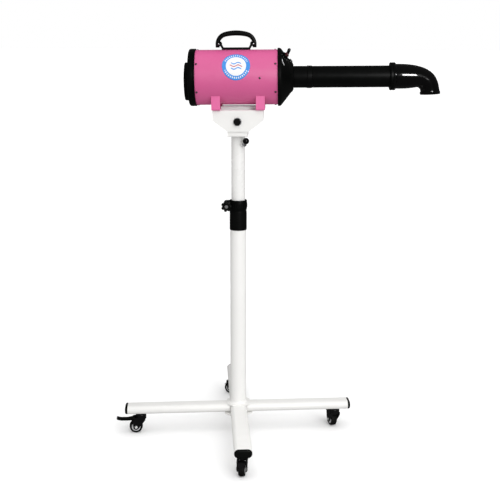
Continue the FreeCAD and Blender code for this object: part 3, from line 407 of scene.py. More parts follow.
def leg_rings(rows):
    """Flat-oval rings across a leg, from (place along it, how far inside its outline) pairs."""
    steps = 14
    rings = []
    for x, inset in rows:
        width, height = LEG_WIDE - 2 * inset, LEG_TALL - 2 * inset
        r, s = height / 2, (width - height) / 2
        points = []
        for side, start in ((1, -90), (-1, 90)):
            for i in range(steps + 1):
                a = math.radians(start + 180 * i / steps)
                points.append(Vector((x, side * s + r * math.cos(a), LEG_Z + r * math.sin(a))))
        rings.append(points)
    return rings


def make_legs():
    end, dome_steps = LEG_END, 9
    tube = [(LEG_START, 0), (end - 0.8, 0), (end, 0.5), (end, 1.7), (end - 14, 1.7)]
    cap = [(end - 12, 2), (end - 0.2, 2), (end + 0.1, 0.4), (end + 0.9, 0), (end + CAP_EDGE, 0)]
    for i in range(1, dome_steps):
        a = math.radians(90 * i / dome_steps)
        cap.append((end + CAP_EDGE + CAP_DOME * math.sin(a), CAP_ROUND * (1 - math.cos(a))))
    for name, quarter in (("right", 0), ("back", 90), ("left", 180), ("front", 270)):
        place = turned(TURN + quarter)
        piece(f"leg_tube_{name}", moved(loft(leg_rings(tube)), place), WHITE, "base",
              [f"leg_{name}"])
        piece(f"leg_cap_{name}", moved(loft(leg_rings(cap)), place), BLACK, "base",
              ["leg_end_caps"])


def pole_wall(low, high, r, low_edge, high_edge):
    inside, inner_edge = r - TUBE_WALL, 0.3
    profile = soften([(low, r, low_edge), (high, r, high_edge), (high, inside, inner_edge),
                      (low, inside, inner_edge)])
    return lathe(profile, closed=True)


def make_poles():
    low, high = box_mm("lower_pole")
    lower = pole_wall(low.z, high.z, (high.x - low.x) / 2, 0.3, 0.5)
    piece("lower_pole_tube", lower, WHITE, "base", ["lower_pole"])
    low, high = box_mm("upper_tube")
    tube = pole_wall(low.z, high.z, UPPER_R, 0.4, 0.4)
    origin, out = lever_axis()
    nut = soften([(18.6, 0.1), (18.6, 7.6), (26.2, 7.6, 0.8), (26.2, 4.2), (20, 4.2), (20, 0.1)], False)
    boss = lathe(nut, origin, out, 6)
    weld = lathe([(19.2, 7.8), (19.6, 9.6), (20.6, 8.7), (21.6, 7.8)], origin, out, 40)
    piece("upper_tube_shell", joined(tube, boss, weld), TUBE_WHITE, "mast",
          ["upper_tube"])
    bead = soften([(88.2, 23.9), (88.2, 29.5, 0.6), (92.5, 27.2, 1.5), (96.5, 24.6, 1.0), (97, 23.85)], False)
    piece("pole_weld_collar", lathe(bead), WHITE, "base")


def lever_axis():
    """The swivel lever's screw axis: a point on the pole's axis and the outward direction."""
    lever = joint("swivel_lever_turn")
    return Vector((0, 0, lever["pos_m"][2] / MM)), Vector(lever["axis"])


def make_lever():
    origin, out = lever_axis()
    screw = soften([(19.2, 0.1), (19.2, 4.0), (27.3, 4.0), (27.3, 6.4, 0.8), (34.6, 6.4, 1.6), (34.6, 0.1)],
                   False)
    hub = lathe(screw, origin, out, 48)
    foot, ball = origin + out * 31, origin + out * 38.5 + Vector((0, 0, 1)) * 10.5
    span = (ball - foot).length
    rod = soften([(0, 0.1), (0, 3.6), (span * 0.55, 2.9, 6), (span, 3.3), (span, 0.1)], False)
    arm = lathe(rod, foot, ball - foot, 32)
    half_turn = [math.radians(a) for a in range(0, 181, 6)]
    knob = lathe([(BALL_R * -math.cos(a), BALL_R * math.sin(a)) for a in half_turn], ball, ball - foot, 48)
    piece("swivel_lever_stem", joined(hub, arm), ZINC, "swivel_lever")
    piece("swivel_lever_ball", knob, GLOSS, "swivel_lever", ["ball_lever"])


def make_collar():
    """Moulded collar of the height clamp: a stepped sleeve with fine ribs and two ears for the screw."""
    low, high = box_mm("pole_collar")
    z0, z1 = low.z, high.z
    sleeve = soften([(z0, 23.9), (z0, 25.0, 0.8), (z0 + 2, 25.4, 0.6), (z0 + 55, 25.4, 0.5),
                     (z0 + 56.5, 24.5, 0.7), (z0 + 59, 24.5, 0.7), (z0 + 66, 26.3, 3), (z0 + 80, 26.6, 3),
                     (z1 - 2.5, 26.0, 1.2), (z1, 25.0, 0.8), (z1, 20.2), (z1 - 28, 20.2)], False)
    body = lathe(sleeve, segments=128)
    ribs = []
    bar = soften([(z0 + 68, 0.1), (z0 + 68, 0.8, 0.3), (z0 + 79, 0.8, 0.3), (z0 + 79, 0.1)], False)
    for i in range(COLLAR_RIBS):
        a = math.radians(360 / COLLAR_RIBS * i)
        out = Vector((math.cos(a), math.sin(a), 0))
        ribs.append(lathe(bar, out * COLLAR_RIB_REACH, (0, 0, 1), 8))
    screw = joint("height_knob_turn")["pos_m"]
    kx, kz = screw[0] / MM, screw[2] / MM
    outline = soften([(kx - 11, kz - 12, 9), (kx - 11, kz + 12, 9), (-21, kz + 12), (-21, kz - 12)])
    ears = [slab(outline, a, b) for a, b in ((-11.5, -1.5), (1.5, 11.0))]
    piece("clamp_collar_body", joined(body, *ears), BLACK, "base", ["pole_collar"])
    piece("clamp_collar_ribs", joined(*ribs), BLACK, "base")


def lobed(radius, depth, count, z):
    """A ring with rounded lobes, for a knob's grip."""
    ring, points = [], 10 * count
    for i in range(points):
        a = 2 * math.pi * i / points
        wave = 0.5 + 0.5 * math.cos(count * a)
        r = radius - depth * (1 - wave ** 0.6)
        ring.append(Vector((r * math.cos(a), r * math.sin(a), z)))
    return ring


def make_height_knob():
    low, high = box_mm("height_knob")
    at = Vector(joint("height_knob_turn")["pos_m"]) / MM
    face, back = low.y, high.y - low.y
    rows = [(0.0, 9.0, 1.0), (-0.9, 11.0, 1.6), (-0.9, 11.6, 2.0), (0.1, 14.2, 3.2), (1.5, 15.8, 3.9),
            (4, 16, 4.2), (13, 16, 4.2), (15, 15.4, 3.9), (16, 13.4, 2.5), (16, 7.5, 0.5)]
    rings = [lobed(r, d, KNOB_LOBES, y) for y, r, d in rows]
    upright = Matrix.Rotation(math.radians(-90), 4, "X")
    grip = moved(loft(rings), Matrix.Translation((at.x, face + 1, at.z)) @ upright)
    shank = soften([(15, 0.1), (15, 7.5), (18, 6.8, 1), (back - 8.6 - 24, 6.5), (31.7, 6.5), (31.7, 3.0),
                    (back, 3.0), (back, 0.1)], False)
    neck = lathe(shank, (at.x, face, at.z), (0, 1, 0), 40)
    insert = lathe([(0.2, 0.1), (0.2, 4.6), (0.9, 5.2), (1.6, 5.2)], (at.x, face - 0.1, at.z), (0, 1, 0), 40)
    piece("height_knob_grip", joined(grip, neck), BLACK, "height_knob", ["height_knob"])
    piece("height_knob_insert", insert, ZINC, "height_knob")


# ---------------------------------------------------------------- castors

def castor_matrix(name):
    """From a castor standing at the origin with its wheel along +X to its place under the leg."""
    at = Vector(joint(f"castor_{name}_swivel")["pos_m"]) / MM
    axle = joint(f"castor_{name}_roll")["axis"]
    trail = math.atan2(-axle[0], axle[1])
    return Matrix.Translation((at.x, at.y, 0)) @ Matrix.Rotation(trail, 4, "Z")


TRAIL, WHEEL_R = 15.0, 20.0
WHEEL_AT, ACROSS = (TRAIL, 0, WHEEL_R), (0, 1, 0)
HUB_RIBS = 6
GUARD_IN, GUARD_OUT, GUARD_HALF, GUARD_STEPS = 20.6, 21.8, 10.8, 24


def tyre_mesh():
    half = 9.0
    profile = soften([(-half, 13.2), (-half, 17.5, 1.0), (-half + 1.5, 19.3, 2.0), (-3, 20, 1.5), (-1.0, 20),
                      (-0.7, 19.6), (0.7, 19.6), (1.0, 20), (3, 20, 1.5), (half - 1.5, 19.3, 2.0),
                      (half, 17.5, 1.0), (half, 13.2)])
    return lathe(profile, WHEEL_AT, ACROSS, 72, True)


def hub_mesh():
    """Grey hub: rim ring, web with six ribs and a boss on each side."""
    parts = []
    for side in (-1, 1):
        disc = soften([(side * 10.4, 3.1), (side * 10.4, 5.6, 0.6), (side * 6.8, 6.6, 0.8),
                       (side * 5.2, 7.4, 0.8), (side * 5.2, 10.6, 0.8), (side * 8.2, 11.4, 0.5),
                       (side * 8.6, 13.25)], False)
        parts.append(lathe(disc, WHEEL_AT, ACROSS, 60))
        low, high = sorted((side * 4.8, side * 7.4))
        rib = slab([(5.5, -0.7), (11.6, -0.7), (11.6, 0.7), (5.5, 0.7)], low, high)
        for i in range(HUB_RIBS):
            spoke = Matrix.Rotation(math.radians(360 / HUB_RIBS * i), 4, "Y")
            parts.append(moved(rib, Matrix.Translation(WHEEL_AT) @ spoke))
    return joined(*parts)


def axle_mesh():
    parts = [lathe([(-15.2, 3.0), (15.2, 3.0)], WHEEL_AT, ACROSS, 32)]
    for side in (-1, 1):
        dome = soften([(side * 14.0, 5.3), (side * 15.0, 5.3, 0.5), (side * 16.3, 3.4, 1.4),
                       (side * 16.4, 0.05)], False)
        parts.append(lathe(dome, WHEEL_AT, ACROSS, 32))
    return joined(*parts)


def guard_mesh():
    """Curved guard over the wheel, between the fork's cheeks."""
    rings = []
    section = ((GUARD_IN, -GUARD_HALF), (GUARD_IN, GUARD_HALF), (GUARD_OUT, GUARD_HALF),
               (GUARD_OUT, -GUARD_HALF))
    for i in range(GUARD_STEPS + 1):
        a = math.radians(30 + 120 * i / GUARD_STEPS)
        rings.append([(TRAIL - r * math.cos(a), y, WHEEL_R + r * math.sin(a)) for r, y in section])
    return loft(rings)


def pedal_mesh():
    """Brake pedal: an arched tread with anti-slip ribs and two rivets under it."""
    outline = soften([(19.5, 41.9, 2), (24, 40.9, 3), (40, 41.0, 8), (60, 41.9, 8), (71, 44.6, 5),
                      (73.8, 47.6, 1.4), (71.6, 49.2, 1.4), (60, 46.0, 8), (40, 45.3, 8), (24, 48.0, 4),
                      (19.5, 47.2, 2)])
    plate = slab(outline, -10.2, 10.2)
    bar = soften([(-8.5, 0.05), (-8.5, 0.8, 0.3), (8.5, 0.8, 0.3), (8.5, 0.05)], False)
    ribs = [lathe(bar, (x, 0, z), ACROSS, 10) for x, z in ((56, 45.2), (60, 45.9), (64, 46.9), (68, 48.0))]
    rivet = soften([(0, 0.05), (0, 2.6, 0.8), (3, 2.6)], False)
    rivets = [lathe(rivet, (x, 0, z - 1.6), (0, 0, 1), 20) for x, z in ((44, 41.4), (54, 41.9))]
    return plate, joined(*ribs), joined(*rivets)


def make_castors():
    for name in ("left", "right", "front", "back"):
        place = castor_matrix(name)
        wheel, fork = f"wheel_{name}", f"castor_{name}"
        piece(f"castor_tread_{name}", moved(tyre_mesh(), place), RUBBER, wheel,
              [f"castor_tyre_{name}"])
        piece(f"castor_hub_{name}", moved(hub_mesh(), place), HUB_GREY, wheel,
              [f"castor_wheel_{name}"])
        piece(f"castor_axle_{name}", moved(axle_mesh(), place), RAIL_ZINC, fork)
        if name in ("front", "back"):
            piece(f"castor_guard_{name}", moved(guard_mesh(), place), IRON, fork)
        else:
            plate, ribs, rivets = pedal_mesh()
            body = f"brake_{name}"
            piece(f"brake_tread_{name}", moved(plate, place), BLACK, body,
                  [f"brake_pedal_{name}"], bevel=1.0)
            piece(f"brake_ribs_{name}", moved(ribs, place), BLACK, body)
            piece(f"brake_rivets_{name}", moved(rivets, place), ZINC, body)


# ---------------------------------------------------------------- blower

def make_housing():
    x0, x1 = SHELL_X
    r = SHELL_R
    wall = soften([(x0, r - 1.2, 0.2), (x0, r - 0.2, 0.3), (x0 + 1.2, r, 0.6), (x1 - 1.2, r, 0.6),
                   (x1, r - 0.2, 0.3), (x1, r - 1.2, 0.2)])
    piece("housing_shell", lathe(wall, HEAD, ALONG, 160, True), PINK, "head", ["housing"])
    first, last, middle, lap, inset = 176, 184, 180, 0.55, 0.6
    rows = []
    for x in (x0 + inset, x1 - inset):
        ridge = [on_shell(x, a, r + (lap if first < a < last else 0.0)) for a in range(first, last + 1)]
        rows.append(ridge + [on_shell(x, middle, r - inset)])
    piece("housing_seam", loft(rows), PINK, "head", angle=60)


def screw_head():
    """A pan head with a cross recess, standing along +Z from z = 0."""
    radius, high, rows, count = 3.0, 1.8, 14, 48
    arm_half, arm_long, recess = 0.36, 1.9, 1.1
    verts = []
    for k in range(rows + 1):
        r = radius * k / rows
        for i in range(count):
            a = 2 * math.pi * i / count
            x, y = r * math.cos(a), r * math.sin(a)
            dome = high * math.sqrt(max(0.0, 1 - (r / (radius * 1.04)) ** 2)) ** 0.7
            arm = min(abs(x), abs(y)) < arm_half and r < arm_long
            verts.append(Vector((x, y, dome - (recess if arm else 0.0))))
    faces = ring_faces(rows, count)
    skirt = lathe([(-0.2, radius), (0.35, radius)], (0, 0, 0), (0, 0, 1), count)
    return joined((verts, faces), skirt)


def along_matrix(at, direction, spin=0.0):
    """Carries +Z to a direction and the origin to a point."""
    turn = Vector((0, 0, 1)).rotation_difference(Vector(direction)).to_matrix().to_4x4()
    return Matrix.Translation(at) @ turn @ Matrix.Rotation(math.radians(spin), 4, "Z")


def make_screws():
    head = screw_head()
    places = [(x, a) for x in SCREW_ROWS for a in range(30, 390, 60)]
    places += [(FRAME_SCREW_X, a) for a in (0, 120, 240)]
    heads = [moved(head, along_matrix(on_shell(x, a, SHELL_R + 0.1), radial(a), 37 * k))
             for k, (x, a) in enumerate(places)]
    piece("housing_screw_heads", joined(*heads), DARK_STEEL, "head", ["housing_screws"],
          angle=40)


def make_rear_cap():
    x0, far, r = SHELL_X[0], REAR_X, REAR_R
    profile = soften([(x0 + 12.5, 77.4), (x0 + 0.1, 77.4), (x0, r - 0.4, 0.3), (x0 - 1, r, 0.5),
                      (x0 - 4.5, r, 0.4), (x0 - 4.9, r - 0.8, 0.3), (x0 - 5.9, r - 0.8, 0.3),
                      (x0 - 6.3, r, 0.4), (far, r, 9), (far, 56, 0.8), (far + 1.0, 55, 0.6), (far + 1.0, 44),
                      (far + 4.5, 44), (far + 4.5, 74), (x0 + 12.5, 74)])
    piece("rear_cap_shell", lathe(profile, HEAD, ALONG, 144, True), BLACK, "head",
          ["rear_cap"])


def make_intake():
    cz, r = HEAD_Z - COVER_DROP, COVER_R
    near, far = REAR_X - 0.3, COVER_X
    ring = soften([(near, r, 0.4), (far, r, 2.4), (far, 43.5, 0.8), (far + 2.6, 43.5, 0.5),
                   (far + 2.6, r - 2.5, 0.5), (near - 2.5, r - 2.5), (near - 2.5, 41), (near + 9, 41),
                   (near + 9, 43.6), (near, 43.6)])
    parts = [lathe(ring, (0, 0, cz), ALONG, 128, True)]
    for i in range(-5, 5):
        y0, y1 = 9 * i + 2, 9 * i + 7
        reach = math.sqrt(GRILLE_R ** 2 - min(GRILLE_R - 0.5, max(abs(y0), abs(y1))) ** 2)
        outline = soften([(y0, -reach, 0.6), (y1, -reach, 0.6), (y1, reach, 0.6), (y0, reach, 0.6)])
        parts.append(slab([(a, b + cz) for a, b in outline], far + 0.2, far + 2.5, "yz"))
    reach = math.sqrt(GRILLE_R ** 2 - 23.0 ** 2)
    for z in (cz - 21.0, cz + 21.0):
        bar = [(-reach, z - 1.2), (reach, z - 1.2), (reach, z + 1.2), (-reach, z + 1.2)]
        parts.append(slab(bar, far + 1.2, far + 3.2, "yz"))
    lug = lathe(soften([(0, 0.05), (0, 4.6, 0.6), (1.0, 4.6)], False), (far + 0.2, 0, cz), ALONG, 40)
    piece("intake_cover_grille", joined(*parts, lug), BLACK, "intake_cover",
          ["intake_cover"], angle=30)


def cone_seat(x, angle):
    """A point on the front cone and the outward direction there."""
    run, drop = CONE_X[1] - CONE_X[0], CONE_R[0] - CONE_R[1]
    long = math.hypot(run, drop)
    normal = Vector((drop / long, 0, 0)) + radial(angle) * (run / long)
    return on_shell(x, angle, CONE_R[0] - drop / run * (x - CONE_X[0])), normal


KNOB_SEAT, TOGGLE_SEAT, LAMP_SEAT = cone_seat(136.5, 60.0), cone_seat(141.5, 84.0), cone_seat(153.5, 76.0)
TOGGLE_LONG, TOGGLE_LEAN, TOGGLE_TIP_R = 13.5, -30, 4.7
KNOB_TURN, SCALE_TICKS, KNOB_FLUTES = 270, 9, 18
# ARC_* place a light grey arc on the cone that is a painted highlight, standing in for the lit lower edge of a
# round control.
ARC_STEPS, ARC_AT, ARC_REACH = 16, (140.3, 43), (11.0, 15.5)


def standing(seat, profile, segments=48):
    return lathe(profile, seat[0], seat[1], segments)


def make_front_cap():
    x1, r = SHELL_X[1], RIM_R
    profile = soften([(x1 - 12.8, 74.0), (x1 - 12.8, 77.4), (x1 - 0.1, 77.4), (x1, r - 1, 0.3),
                      (x1 + 1, r, 0.6), (x1 + 6.0, r, 0.5), (x1 + 7.2, r - 0.7, 0.6), (x1 + 9.4, 82.0, 0.8),
                      (127.2, 80.6, 0.7), (150.8, 50.6, 0.5), (151.8, 48.8, 0.5), (157.0, 43.0, 1.2),
                      (159.3, 41.6, 1.0), (161.9, 36.4, 1.0), (162.1, 29.5), (152.5, 29.5), (152.5, 43.5),
                      (123.5, 79.5), (x1 - 0.5, 75)])
    cone = lathe(profile, HEAD, ALONG, 144, True)
    bosses = [standing(KNOB_SEAT, soften([(-3, 11.6), (1.4, 11.0, 0.6), (1.4, 0.1)], False)),
              standing(TOGGLE_SEAT, soften([(-3, 7.6), (1.2, 7.0, 0.6), (1.2, 0.1)], False)),
              standing(LAMP_SEAT, soften([(-3, 7.1), (1.0, 6.6, 0.4), (1.0, 0.1)], False))]
    piece("front_cap_cone", joined(cone, *bosses), BLACK, "head", ["front_cap"])
    marks = []
    for i in range(SCALE_TICKS):
        a = -KNOB_TURN / 2 + KNOB_TURN * i / (SCALE_TICKS - 1)
        near, far = 12.4, 14.6 if i % 4 else 15.6
        tick = slab([(near, -0.35), (far, -0.35), (far, 0.35), (near, 0.35)], 0.0, 0.22, "xy")
        marks.append(moved(tick, along_matrix(*KNOB_SEAT, a)))
    piece("control_scale", joined(*marks), GREY, "head")
    # Painted highlight: a light grey arc strip on the cone in place of a control's lit edge, not a printed scale.
    arc = []
    for i in range(ARC_STEPS + 1):
        a = math.radians(8 + 52 * i / ARC_STEPS)
        row = []
        for reach, lift in ((0.94, -0.3), (1.06, -0.3), (1.06, 0.4), (0.94, 0.4)):
            x = ARC_AT[0] - ARC_REACH[0] * reach * math.cos(a)
            at, normal = cone_seat(x, ARC_AT[1] - ARC_REACH[1] * reach * math.sin(a))
            row.append(at + normal * lift)
        arc.append(row)
    piece("painted_highlight_arc", loft(arc), HUB_GREY, "head")


def make_controls():
    cup = soften([(-6, 3.0), (1.9, 3.0), (1.9, 9.5, 0.4), (5.6, 8.9, 0.8), (6.6, 7.6, 0.5), (6.6, 0.1)],
                 False)
    skirt = standing(KNOB_SEAT, cup, 60)
    rod = soften([(2.2, 0.05), (2.2, 0.7, 0.2), (5.4, 0.7, 0.2), (5.4, 0.05)], False)
    flute = lathe(rod, (9.15, 0, 0), (0, 0, 1), 8)
    flutes = [moved(flute, along_matrix(*KNOB_SEAT, 360 / KNOB_FLUTES * i)) for i in range(KNOB_FLUTES)]
    crown = standing(KNOB_SEAT, soften([(6.2, 6.7), (10.2, 6.4, 0.8), (10.9, 5.2, 0.6), (10.9, 0.1)], False))
    pointer = moved(slab([(0.6, -0.5), (6.0, -0.5), (6.0, 0.5), (0.6, 0.5)], 10.8, 11.05, "xy"),
                    along_matrix(*KNOB_SEAT, 40))
    piece("speed_knob_skirt", joined(skirt, *flutes), BLACK, "speed_knob", ["speed_knob"])
    piece("speed_knob_crown", crown, RED, "speed_knob")
    piece("speed_knob_pointer", pointer, GREY, "speed_knob")
    bush = standing(TOGGLE_SEAT, soften([(1.0, 5.0), (3.9, 5.0, 0.4), (3.9, 3.6)], False), 40)
    nut = standing(TOGGLE_SEAT, soften([(1.2, 6.8, 0.3), (3.2, 6.8, 0.5), (3.2, 5.0)], False), 6)
    piece("toggle_collar", joined(bush, nut), CHROME, "head", ["toggle_bush"])
    rim = soften([(0.9, 5.6, 0.2), (3.4, 5.5, 0.9), (4.2, 4.4, 0.5), (3.6, 3.9)], False)
    bezel = standing(LAMP_SEAT, rim)
    quarter = [math.radians(a) for a in range(0, 91, 9)]
    lens = [(3.0 + 2.6 * math.sin(a), 3.9 * math.cos(a)) for a in quarter]
    piece("pilot_lamp_bezel", bezel, CHROME, "head", ["pilot_lamp"])
    piece("pilot_lamp_lens", standing(LAMP_SEAT, lens, 40), LENS, "head")
    at, normal = TOGGLE_SEAT
    pivot, span = at + normal * 4.0, TOGGLE_LONG
    tip = pivot + Matrix.Rotation(math.radians(TOGGLE_LEAN), 3, "Y") @ normal * span
    stick = soften([(-2.6, 0.05), (-2.0, 1.9, 0.8), (0.2, 4.2, 1.0), (span * 0.4, 4.5, 3),
                    (span, 4.75, 1.0)], False)
    cap = [(span + TOGGLE_TIP_R * math.sin(a), TOGGLE_TIP_R * math.cos(a)) for a in quarter[1:]]
    bat = lathe(stick + cap, pivot, tip - pivot, 40)
    piece("toggle_bat", bat, GLOSS, "heat_toggle", ["toggle_lever"])


def make_tube():
    x0, x1 = SLEEVE_X
    sleeve = soften([(x0 - 9, 29.1), (x0 + 0.1, 29.1), (x0 + 0.1, SLEEVE_R, 0.4), (RING_X - 1, SLEEVE_R, 0.5),
                     (RING_X + 0.6, RING_R, 0.7), (x1 - 1.2, RING_R, 0.6), (x1 - 0.1, RING_R - 1, 0.4),
                     (x1 - 0.1, 27.2), (x0 - 9, 27.2)])
    piece("outlet_sleeve_body", lathe(sleeve, HEAD, ALONG, closed=True), BLACK, "head",
          ["outlet_sleeve"])
    start, near, far = x1 - 23.7, FLANGE_X[0], FLANGE_X[1]
    tube = soften([(start, 27.1), (x1 + 0.2, 27.1), (x1 + 0.2, TUBE_R, 0.3), (near - 1.5, TUBE_R, 1.2),
                   (near, TUBE_R + 1.5), (near, FLANGE_R - 0.6, 0.6), (near + 0.8, FLANGE_R, 0.5),
                   (far - 0.6, FLANGE_R, 0.5), (far, FLANGE_R - 0.6, 0.4), (far, 29.05), (x1 + 8, 29.05),
                   (x1 + 2, 25.15), (start, 25.15)])
    piece("nozzle_tube_body", lathe(tube, HEAD, ALONG, closed=True), BLACK, "head",
          ["nozzle_tube"])


# Stations along the elbow: the under and upper side as (x, height over the blower's axis).
ELBOW = (
    ((456.0, -35.8), (456.0, 35.6)),
    ((473.0, -35.9), (474.0, 35.6)),
    ((492.0, -35.2), (497.0, 34.0)),
    ((508.0, -33.7), (523.0, 29.6)),
    ((520.0, -31.9), (549.5, 19.8)),
    ((526.5, -34.3), (570.0, 3.2)),
    ((530.0, -39.5), (581.4, -19.0)),
    ((530.8, -45.0), (586.2, -42.5)),
)
ELBOW_STEPS, ELBOW_SEGMENTS, ELBOW_WALL = 7, 80, 2.2


def smooth_between(points):
    """Catmull-Rom points through a row of stations."""
    out = []
    steps, count = ELBOW_STEPS, len(points)
    for i in range(count - 1):
        p = [Vector(points[max(0, min(count - 1, i + k))]) for k in (-1, 0, 1, 2)]
        for s in range(steps):
            t = s / steps
            out.append(0.5 * ((2 * p[1]) + (p[2] - p[0]) * t + (2 * p[0] - 5 * p[1] + 4 * p[2] - p[3]) * t * t
                              + (3 * p[1] - p[0] - 3 * p[2] + p[3]) * t ** 3))
    out.append(Vector(points[-1]))
    return out


def ring_about(centre, up, radius):
    """A circle round a centre, in the plane of up and the line across the blower."""
    side = Vector((0, 1, 0))
    turns = [2 * math.pi * i / ELBOW_SEGMENTS for i in range(ELBOW_SEGMENTS)]
    return [centre + (up * math.cos(a) + side * math.sin(a)) * radius for a in turns]


def make_elbow():
    """The bend, with its wall and its rolled mouth, and the collar on its inlet."""
    low, high = smooth_between([s[0] for s in ELBOW]), smooth_between([s[1] for s in ELBOW])
    outer, inner = [], []
    for under, over in zip(low, high):
        a, b = Vector((under.x, 0, HEAD_Z + under.y)), Vector((over.x, 0, HEAD_Z + over.y))
        centre, across, r = (a + b) / 2, (b - a).normalized(), (b - a).length / 2
        outer.append(ring_about(centre, across, r))
        inner.append(ring_about(centre, across, r - ELBOW_WALL))
    forward = Vector((across.z, 0, -across.x))
    rim = soften([(0, r), (0.4, r + 0.2, 0.2), (0.8, 28.9, 0.5), (1.7, 29.4, 0.8), (7.6, 29.4, 0.9),
                  (8.6, 28.5, 0.5), (8.6, r - 1.4, 0.5), (7.9, r - ELBOW_WALL, 0.4), (0, r - ELBOW_WALL)],
                 False)
    lip = [ring_about(centre + forward * along, across, radius) for along, radius in rim[1:-1]]
    body = loft(outer + lip + inner[::-1], ends=False)
    near, far = FLANGE_X[2], FLANGE_X[3]
    flange = soften([(far + 0.4, 33.4), (far + 0.4, 36.4, 0.3), (far + 1.4, 36.9), (far, 39.0, 0.4),
                     (far - 0.8, FLANGE_R, 0.6), (near + 0.8, FLANGE_R, 0.6), (near, FLANGE_R - 0.8, 0.4),
                     (near, 28.9), (near - 19.8, 28.9, 0.3), (near - 19.8, 26.5), (far - 0.5, 26.5)])
    ring = lathe(flange, HEAD, ALONG, closed=True)
    piece("elbow_bend", body, GLOSS, "elbow", ["elbow_nozzle"])
    piece("elbow_flange", ring, GLOSS, "elbow", ["elbow_collar"])


HANDLE_MID, HANDLE_HALF, HANDLE_PIVOT_Z = -3.1, 59.0, 1174.5
HANDLE_FOOT, HANDLE_CROWN, HANDLE_CORNER = 1164.0, 1205.35, 29.0
GRIP_THIN, GRIP_SWELL, GRIP_WIDE, GRIP_SQUARE = 5.65, 1.75, 9.9, 0.62


def arch_path(half, spring, top, corner):
    """Points along a three-centred arch, from its left foot to its right one."""
    steps, side, height = 9, half - corner, top - spring
    crown = (side ** 2 + height ** 2 - corner ** 2) / (2 * (height - corner))
    lean = math.asin(side / (crown - corner))
    right = []
    for i in range(steps + 1):
        a = lean * i / steps
        right.append((crown * math.sin(a), top - crown + crown * math.cos(a)))
    for i in range(1, steps + 1):
        a = lean + (math.pi / 2 - lean) * i / steps
        right.append((side + corner * math.sin(a), spring + corner * math.cos(a)))
    return [(-x, z) for x, z in right[:0:-1]] + right


def make_handle():
    """Folding grip: one bar bent into an arch, thickest at its crown."""
    mid, half, foot = HANDLE_MID, HANDLE_HALF, HANDLE_FOOT
    spring = HANDLE_PIVOT_Z - 1
    mid_half = half - 5.7
    arc = [(mid + x, z) for x, z in arch_path(mid_half, spring, HANDLE_CROWN, HANDLE_CORNER)]
    legs = [(mid_half, foot + 0.2), (mid_half, foot + 1.2), (mid_half, spring - 2)]
    path = [(mid - x, z) for x, z in legs] + arc + [(mid + x, z) for x, z in legs[::-1]]
    rings = []
    count = len(path)
    for k, (x, z) in enumerate(path):
        a, b = path[max(0, k - 1)], path[min(count - 1, k + 1)]
        tangent = Vector((b[0] - a[0], 0, b[1] - a[1])).normalized()
        out = Vector((-tangent.z, 0, tangent.x))
        swell = math.sin(math.pi * min(1, max(0, (k - 3) / (count - 7))))
        at_end = k in (0, count - 1)
        thick = (GRIP_THIN + GRIP_SWELL * swell) * (0.86 if at_end else 1.0)
        wide = GRIP_WIDE * (0.93 if at_end else 1.0)
        ring = []
        for i in range(36):
            t = 2 * math.pi * i / 36
            c, s = math.cos(t), math.sin(t)
            ring.append(Vector((x, 0, z)) + out * thick * math.copysign(abs(c) ** GRIP_SQUARE, c)
                        + Vector((0, 1, 0)) * wide * math.copysign(abs(s) ** GRIP_SQUARE, s))
        rings.append(ring)
    piece("carry_handle_grip", loft(rings), BLACK, "carry_handle", ["carry_handle"],
          angle=50)
    pivot, sides = (mid, 0, HANDLE_PIVOT_Z), (-1, 1)
    button = soften([(half - 0.9, 5.2), (half - 0.3, 5.2, 0.3), (half, 4.2, 0.3), (half, 0.05)], False)
    rivet = soften([(9.0, 1.9), (10.1, 1.9, 0.3), (10.3, 1.2, 0.3), (10.3, 0.05)], False)
    ends = [lathe(button, pivot, (side, 0, 0), 32) for side in sides]
    ends += [lathe(rivet, (mid + side * 50.2, 0, HANDLE_PIVOT_Z), (0, -1, 0), 24) for side in sides]
    piece("carry_handle_pivots", joined(*ends), ZINC, "carry_handle")
    washer = soften([(45.75, 2.6), (45.75, 6.4, 0.2), (47.4, 6.4, 0.2), (47.4, 2.6)])
    bushes = [lathe(washer, pivot, (side, 0, 0), 40, True) for side in sides]
    piece("carry_handle_bushes", joined(*bushes), BLACK, "head")


# The millimetres that the label's 0 to 1 surface coordinates stand for.
LABEL_SPAN = 100.0


def make_label():
    """Generic round label: a blue ring with fine dashes round a white field with three air waves."""
    centre_x, centre_a, radius = -1.2, 25.8, 39.9
    skin, under = SHELL_R + 0.42, SHELL_R - 0.1
    data = bpy.data.meshes.new("round_label")
    verts, flat = [], []
    rows, count = 26, 96
    for r, height in [(radius * k / rows, skin) for k in range(rows + 1)] + [(radius, under)]:
        for i in range(count):
            a = 2 * math.pi * i / count
            x, s = r * math.cos(a), r * math.sin(a)
            lift = math.degrees(math.asin(max(-1, min(1, s / SHELL_R))))
            verts.append(HEAD_TIP @ on_shell(centre_x + x, centre_a + lift, height) * MM)
            flat.append((x, s))
    data.from_pydata(verts, [], ring_faces(rows + 1, count))
    layer = data.uv_layers.new(name="flat")
    for loop in data.loops:
        x, s = flat[loop.vertex_index]
        layer.data[loop.index].uv = (0.5 + x / LABEL_SPAN, 0.5 + s / LABEL_SPAN)
    data.shade_smooth()
    data.materials.append(label_material())
    obj = bpy.data.objects.new("round_label", data)
    bpy.context.scene.collection.objects.link(obj)
    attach(obj, "head")
    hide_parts("label")


